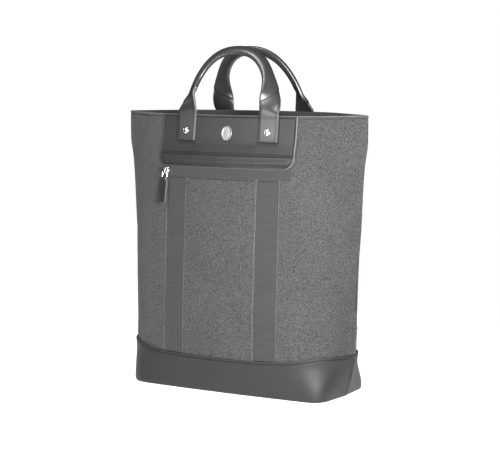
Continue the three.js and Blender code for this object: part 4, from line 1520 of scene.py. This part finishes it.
def corner_tab(hand, word):
    def place(u, down):
        return hand * (TAB_INNER + TAB_LEAN * down + u * tab_half(down)), TAB_TOP - down

    def edge(x, z):
        down = TAB_TOP - z
        aside = abs(abs(x) - TAB_INNER - TAB_LEAN * down)
        return min(tab_half(down) - aside, TAB_HEIGHT - down, down)

    def relief(x, z):
        away = edge(x, z)
        return 0.35 * bump(away - 1.5, 1.4) - 0.3 * bump(away - TAB_STITCH, 0.9)

    vs = TAB_FINE + steps(6, TAB_HEIGHT - 6, 7) + [TAB_HEIGHT - d for d in reversed(TAB_FINE)]
    side = [1 - 2 * d / TAB_WIDTH for d in reversed(TAB_FINE)]
    us = [-u for u in reversed(side)] + steps(-0.7, 0.7, 10) + side
    shape = body_sheet(BACK, us, vs, place, GAP, TAB_LEATHER, relief, edge)
    make_piece(f"{word}_corner_tab", shape, [base_look], [f"strap_tab_{word}"])


# Stitch rows

def yoke_lift(x, z):
    return YOKE_OUT + yoke_relief(x, z)


def cloth_lift(side):
    return lambda x, z: cloth_relief(side, x, z, 40)


def yoke_side_spots():
    """From the middle of the yoke's corner up its right side."""
    corner = YOKE_CORNER - YOKE_STITCH
    spots = []
    for i in range(1, 13):
        angle = math.pi / 2 * i / 12
        x = YOKE_HALF - YOKE_CORNER + corner * math.sin(angle)
        spots.append((x, YOKE_FOOT + YOKE_CORNER - corner * math.cos(angle)))
    heights = steps(YOKE_FOOT + YOKE_CORNER + 2, BAG_HEIGHT - 8, 24)
    return spots + [(YOKE_HALF - YOKE_STITCH, z) for z in heights]


def yoke_stitches():
    thread = Thread()
    reach = YOKE_HALF - YOKE_STITCH
    thread.on_body(FRONT, [(x, rim_at(FRONT, x) - YOKE_STITCH) for x in steps(-reach, reach, 60)], yoke_lift)
    reach = YOKE_HALF - YOKE_CORNER
    foot = [(x, YOKE_FOOT + YOKE_STITCH) for x in steps(-reach, reach, 60)]
    thread.on_body(FRONT, foot + yoke_side_spots(), yoke_lift)
    thread.on_body(FRONT, [(-x, z) for x, z in yoke_side_spots()], yoke_lift)
    crease = [(x, BAND_TOP + CREASE_STITCH) for x in steps(8 - YOKE_HALF, YOKE_HALF - 8, 60)]
    thread.on_body(FRONT, crease, yoke_lift, pitch=2.8, length=1.7)
    for middle in (-HANDLE_HALF, HANDLE_HALF):
        xs = steps(middle - FOOT_WIDTH / 2 - 1, middle + FOOT_WIDTH / 2 + 1, 10)
        thread.on_body(FRONT, [(x, SLIT - SLIT_STITCH) for x in xs], yoke_lift)
    thread.make("yoke_stitches")


def back_yoke_stitches():
    thread = Thread()
    foot = BAG_HEIGHT - BACK_YOKE_HEIGHT
    lift = YOKE_OUT - 0.3
    reach = YOKE_HALF - YOKE_STITCH
    xs = steps(-reach, reach, 50)
    thread.on_body(BACK, [(x, rim_at(BACK, x) - YOKE_STITCH) for x in xs], lift)
    thread.on_body(BACK, [(x, foot + YOKE_STITCH) for x in xs], lift)
    for x in (-reach, reach):
        thread.on_body(BACK, [(x, z) for z in steps(foot + 6, BAG_HEIGHT - 6, 20)], lift)
    thread.make("back_yoke_stitches")


def cloth_stitches():
    thread = Thread()
    for side in (FRONT, BACK):
        for hand in (-1, 1):
            spots = [(hand * x, rim_at(side, x) - CLOTH_STITCH) for x in steps(YOKE_HALF + 3, 205, 40)]
            thread.on_body(side, spots, cloth_lift(side))
    z = TAPE_FOOT - TAPE_STITCH
    thread.on_body(FRONT, [(x, z) for x in steps(-58, 58, 40)], cloth_lift(FRONT))
    for hand in (-1, 1):
        thread.on_body(FRONT, [(hand * x, z) for x in steps(101, 113, 6)], cloth_lift(FRONT))
        thread.on_body(FRONT, [(hand * x, z) for x in steps(65, 95, 12)], WEBBING - 0.35)
    thread.make("cloth_stitches")


def base_stitches():
    thread = Thread()
    spots = [(x, base_top_at(x) - BASE_STITCH) for x in steps(-188, 188, 180)]
    for side in (FRONT, BACK):
        thread.on_body(side, spots, GAP + LEATHER - 0.2)
    thread.make("base_stitches")


def handle_stitches():
    """Two rows up each end of a handle, which stop where its grip begins."""
    thread = Thread()
    for side in (FRONT, BACK):
        stops = handle_stops(side)
        middle = len(stops) // 2
        for half in (stops[:middle], stops[:middle - 1:-1]):
            for s in (-1, 1):
                path = []
                for stop in half[3:]:
                    share = 0.22 if s * stop.along.x > 0 else 0.2
                    if stop.centre.z > BAG_HEIGHT + HANDLE_RISE * share:
                        break
                    spot = stop.centre + stop.across * (s * (stop.width / 2 - HANDLE_STITCH))
                    path.append((spot + stop.out * (stop.thickness / 2 - 0.05), stop.out))
                thread.row(path)
    thread.make("handle_stitches")


def strap_stitches():
    thread = Thread()
    for hand in (-1, 1):
        for s in (-1, 1):
            path = []
            for stop in strap_stops(hand)[3:-3]:
                spot = stop.centre + stop.across * (s * (stop.width / 2 - STRAP_STITCH))
                path.append((spot + stop.out * (binding_height(stop) / 2 - 0.1), stop.out))
            thread.row(path, pitch=3.0)
    for hand in (-1, 1):
        for down, reach in ((TAB_STITCH, 0.78), (TAB_HEIGHT - TAB_STITCH, 0.8)):
            middle = TAB_INNER + TAB_LEAN * down
            xs = [hand * (middle + tab_half(down) * u) for u in steps(-reach, reach, 10)]
            thread.on_body(BACK, [(x, TAB_TOP - down) for x in xs], GAP + TAB_LEATHER - 0.3)
    thread.make("strap_stitches")


# Camera, floor and light

CAMERA_DISTANCE = 2434.96
CAMERA_HEIGHT = 506.9
CAMERA_AZIMUTH = math.radians(31.103)
CAMERA_YAW = math.radians(-0.2)
CAMERA_PITCH = math.radians(6.0725)
CAMERA_FOCUS = 1595.69 / 500
SENSOR = 36
FLOOR_HALF = 0.7
FLOOR_TONE = 0.4
FLOOR_GLOW = 0.95
WHITE = (1, 1, 1, 1)
WORLD_TONES = ((0.25, 0.02), (0.85, 0.25))
AREA_LIGHTS = (
    ("right", (0.54, -0.6, 0.42), (0.06, 0, 0.2), (0.3, 0.3), 17, True),
    ("front", (-0.48, -1.4, 0.72), (0, 0, 0.38), (0.25, 0.4), 7, True),
    ("left", (-1.4, 0.0, 0.8), (0, 0, 0.4), (0.4, 0.8), 1, True),
    ("top", (-0.2, -0.75, 1.6), (0, 0, 0.45), (0.6, 0.2), 14, True),
    ("rear", (0.5, 1.5, 1.0), (0, 0, 0.3), (0.8, 0.8), 30, False),
)


def camera():
    data = bpy.data.cameras.new("view")
    data.sensor_width = SENSOR
    data.lens = SENSOR * CAMERA_FOCUS
    obj = linked("view", data)
    x = CAMERA_DISTANCE * math.sin(CAMERA_AZIMUTH)
    y = -CAMERA_DISTANCE * math.cos(CAMERA_AZIMUTH)
    obj.location = Vector((x, y, CAMERA_HEIGHT)) * MM
    turn = CAMERA_AZIMUTH + CAMERA_YAW
    level = math.cos(CAMERA_PITCH)
    ahead = Vector((-math.sin(turn) * level, math.cos(turn) * level, -math.sin(CAMERA_PITCH)))
    right = Vector((math.cos(turn), math.sin(turn), 0))
    obj.rotation_euler = Matrix((right, right.cross(ahead), -ahead)).transposed().to_euler()
    bpy.context.scene.camera = obj


def area_light(name, place, target, size, power, mirrored_in_metal):
    data = bpy.data.lights.new(name, "AREA")
    data.shape = "RECTANGLE"
    data.size, data.size_y = size
    data.energy = power
    obj = linked(name, data)
    obj.location = place
    obj.rotation_euler = (Vector(target) - Vector(place)).to_track_quat("-Z", "Y").to_euler()
    obj.visible_camera = False
    obj.visible_glossy = mirrored_in_metal


def pale_floor():
    mesh = bpy.data.meshes.new("floor")
    corners = [(x * FLOOR_HALF, y * FLOOR_HALF, 0) for x, y in ((-1, -1), (1, -1), (1, 1), (-1, 1))]
    mesh.from_pydata(corners, [], [(0, 1, 2, 3)])
    look = Look("pale_floor", 0.6, specular=0.2)
    look.set(Base_Color=grey(FLOOR_TONE), Emission_Color=WHITE, Emission_Strength=FLOOR_GLOW)
    mesh.materials.append(look.material)
    linked("floor", mesh)


def world_light():
    """A white surround, dimmer near the horizon than overhead where it lights the bag."""
    world = bpy.data.worlds.new("studio")
    world.use_nodes = True
    sky = Nodes(world.node_tree)
    place = sky.node("ShaderNodeTexCoord").outputs["Generated"]
    height = sky.node("ShaderNodeSeparateXYZ", {0: place}).outputs["Z"]
    seen = sky.node("ShaderNodeLightPath").outputs["Is Camera Ray"]
    links = {0: seen, 6: sky.ramp(height, WORLD_TONES), 7: WHITE}
    color = sky.node("ShaderNodeMix", links, data_type="RGBA").outputs[2]
    links = {"Value": height, "From Min": 0.25, "To Min": 1.0, "To Max": 1.2}
    strength = sky.node("ShaderNodeMapRange", links).outputs["Result"]
    background = world.node_tree.nodes["Background"]
    sky.plug(background.inputs["Color"], color)
    sky.plug(background.inputs["Strength"], strength)
    bpy.context.scene.world = world


# Building

for build in (cloth_panel, mouth_facing, base_wall):
    for side, word in SIDES:
        build(side, word)
floor_panel()
yoke()
back_yoke()
zip_strip()
for hand, word in HANDS:
    webbing_strip(hand, word)
for build in (handle, grip_cover, rivets):
    for side, word in SIDES:
        build(side, word)
badge()
zip_slider()
zip_loop()
zip_pull()
for hand, word in HANDS:
    for build in (shoulder_strap, strap_binding, buckle, strap_webbing, corner_tab):
        build(hand, word)
yoke_stitches()
back_yoke_stitches()
cloth_stitches()
base_stitches()
handle_stitches()
strap_stitches()

camera()
pale_floor()
world_light()
for light in AREA_LIGHTS:
    area_light(*light)
bpy.context.scene.view_settings.view_transform = "Standard"
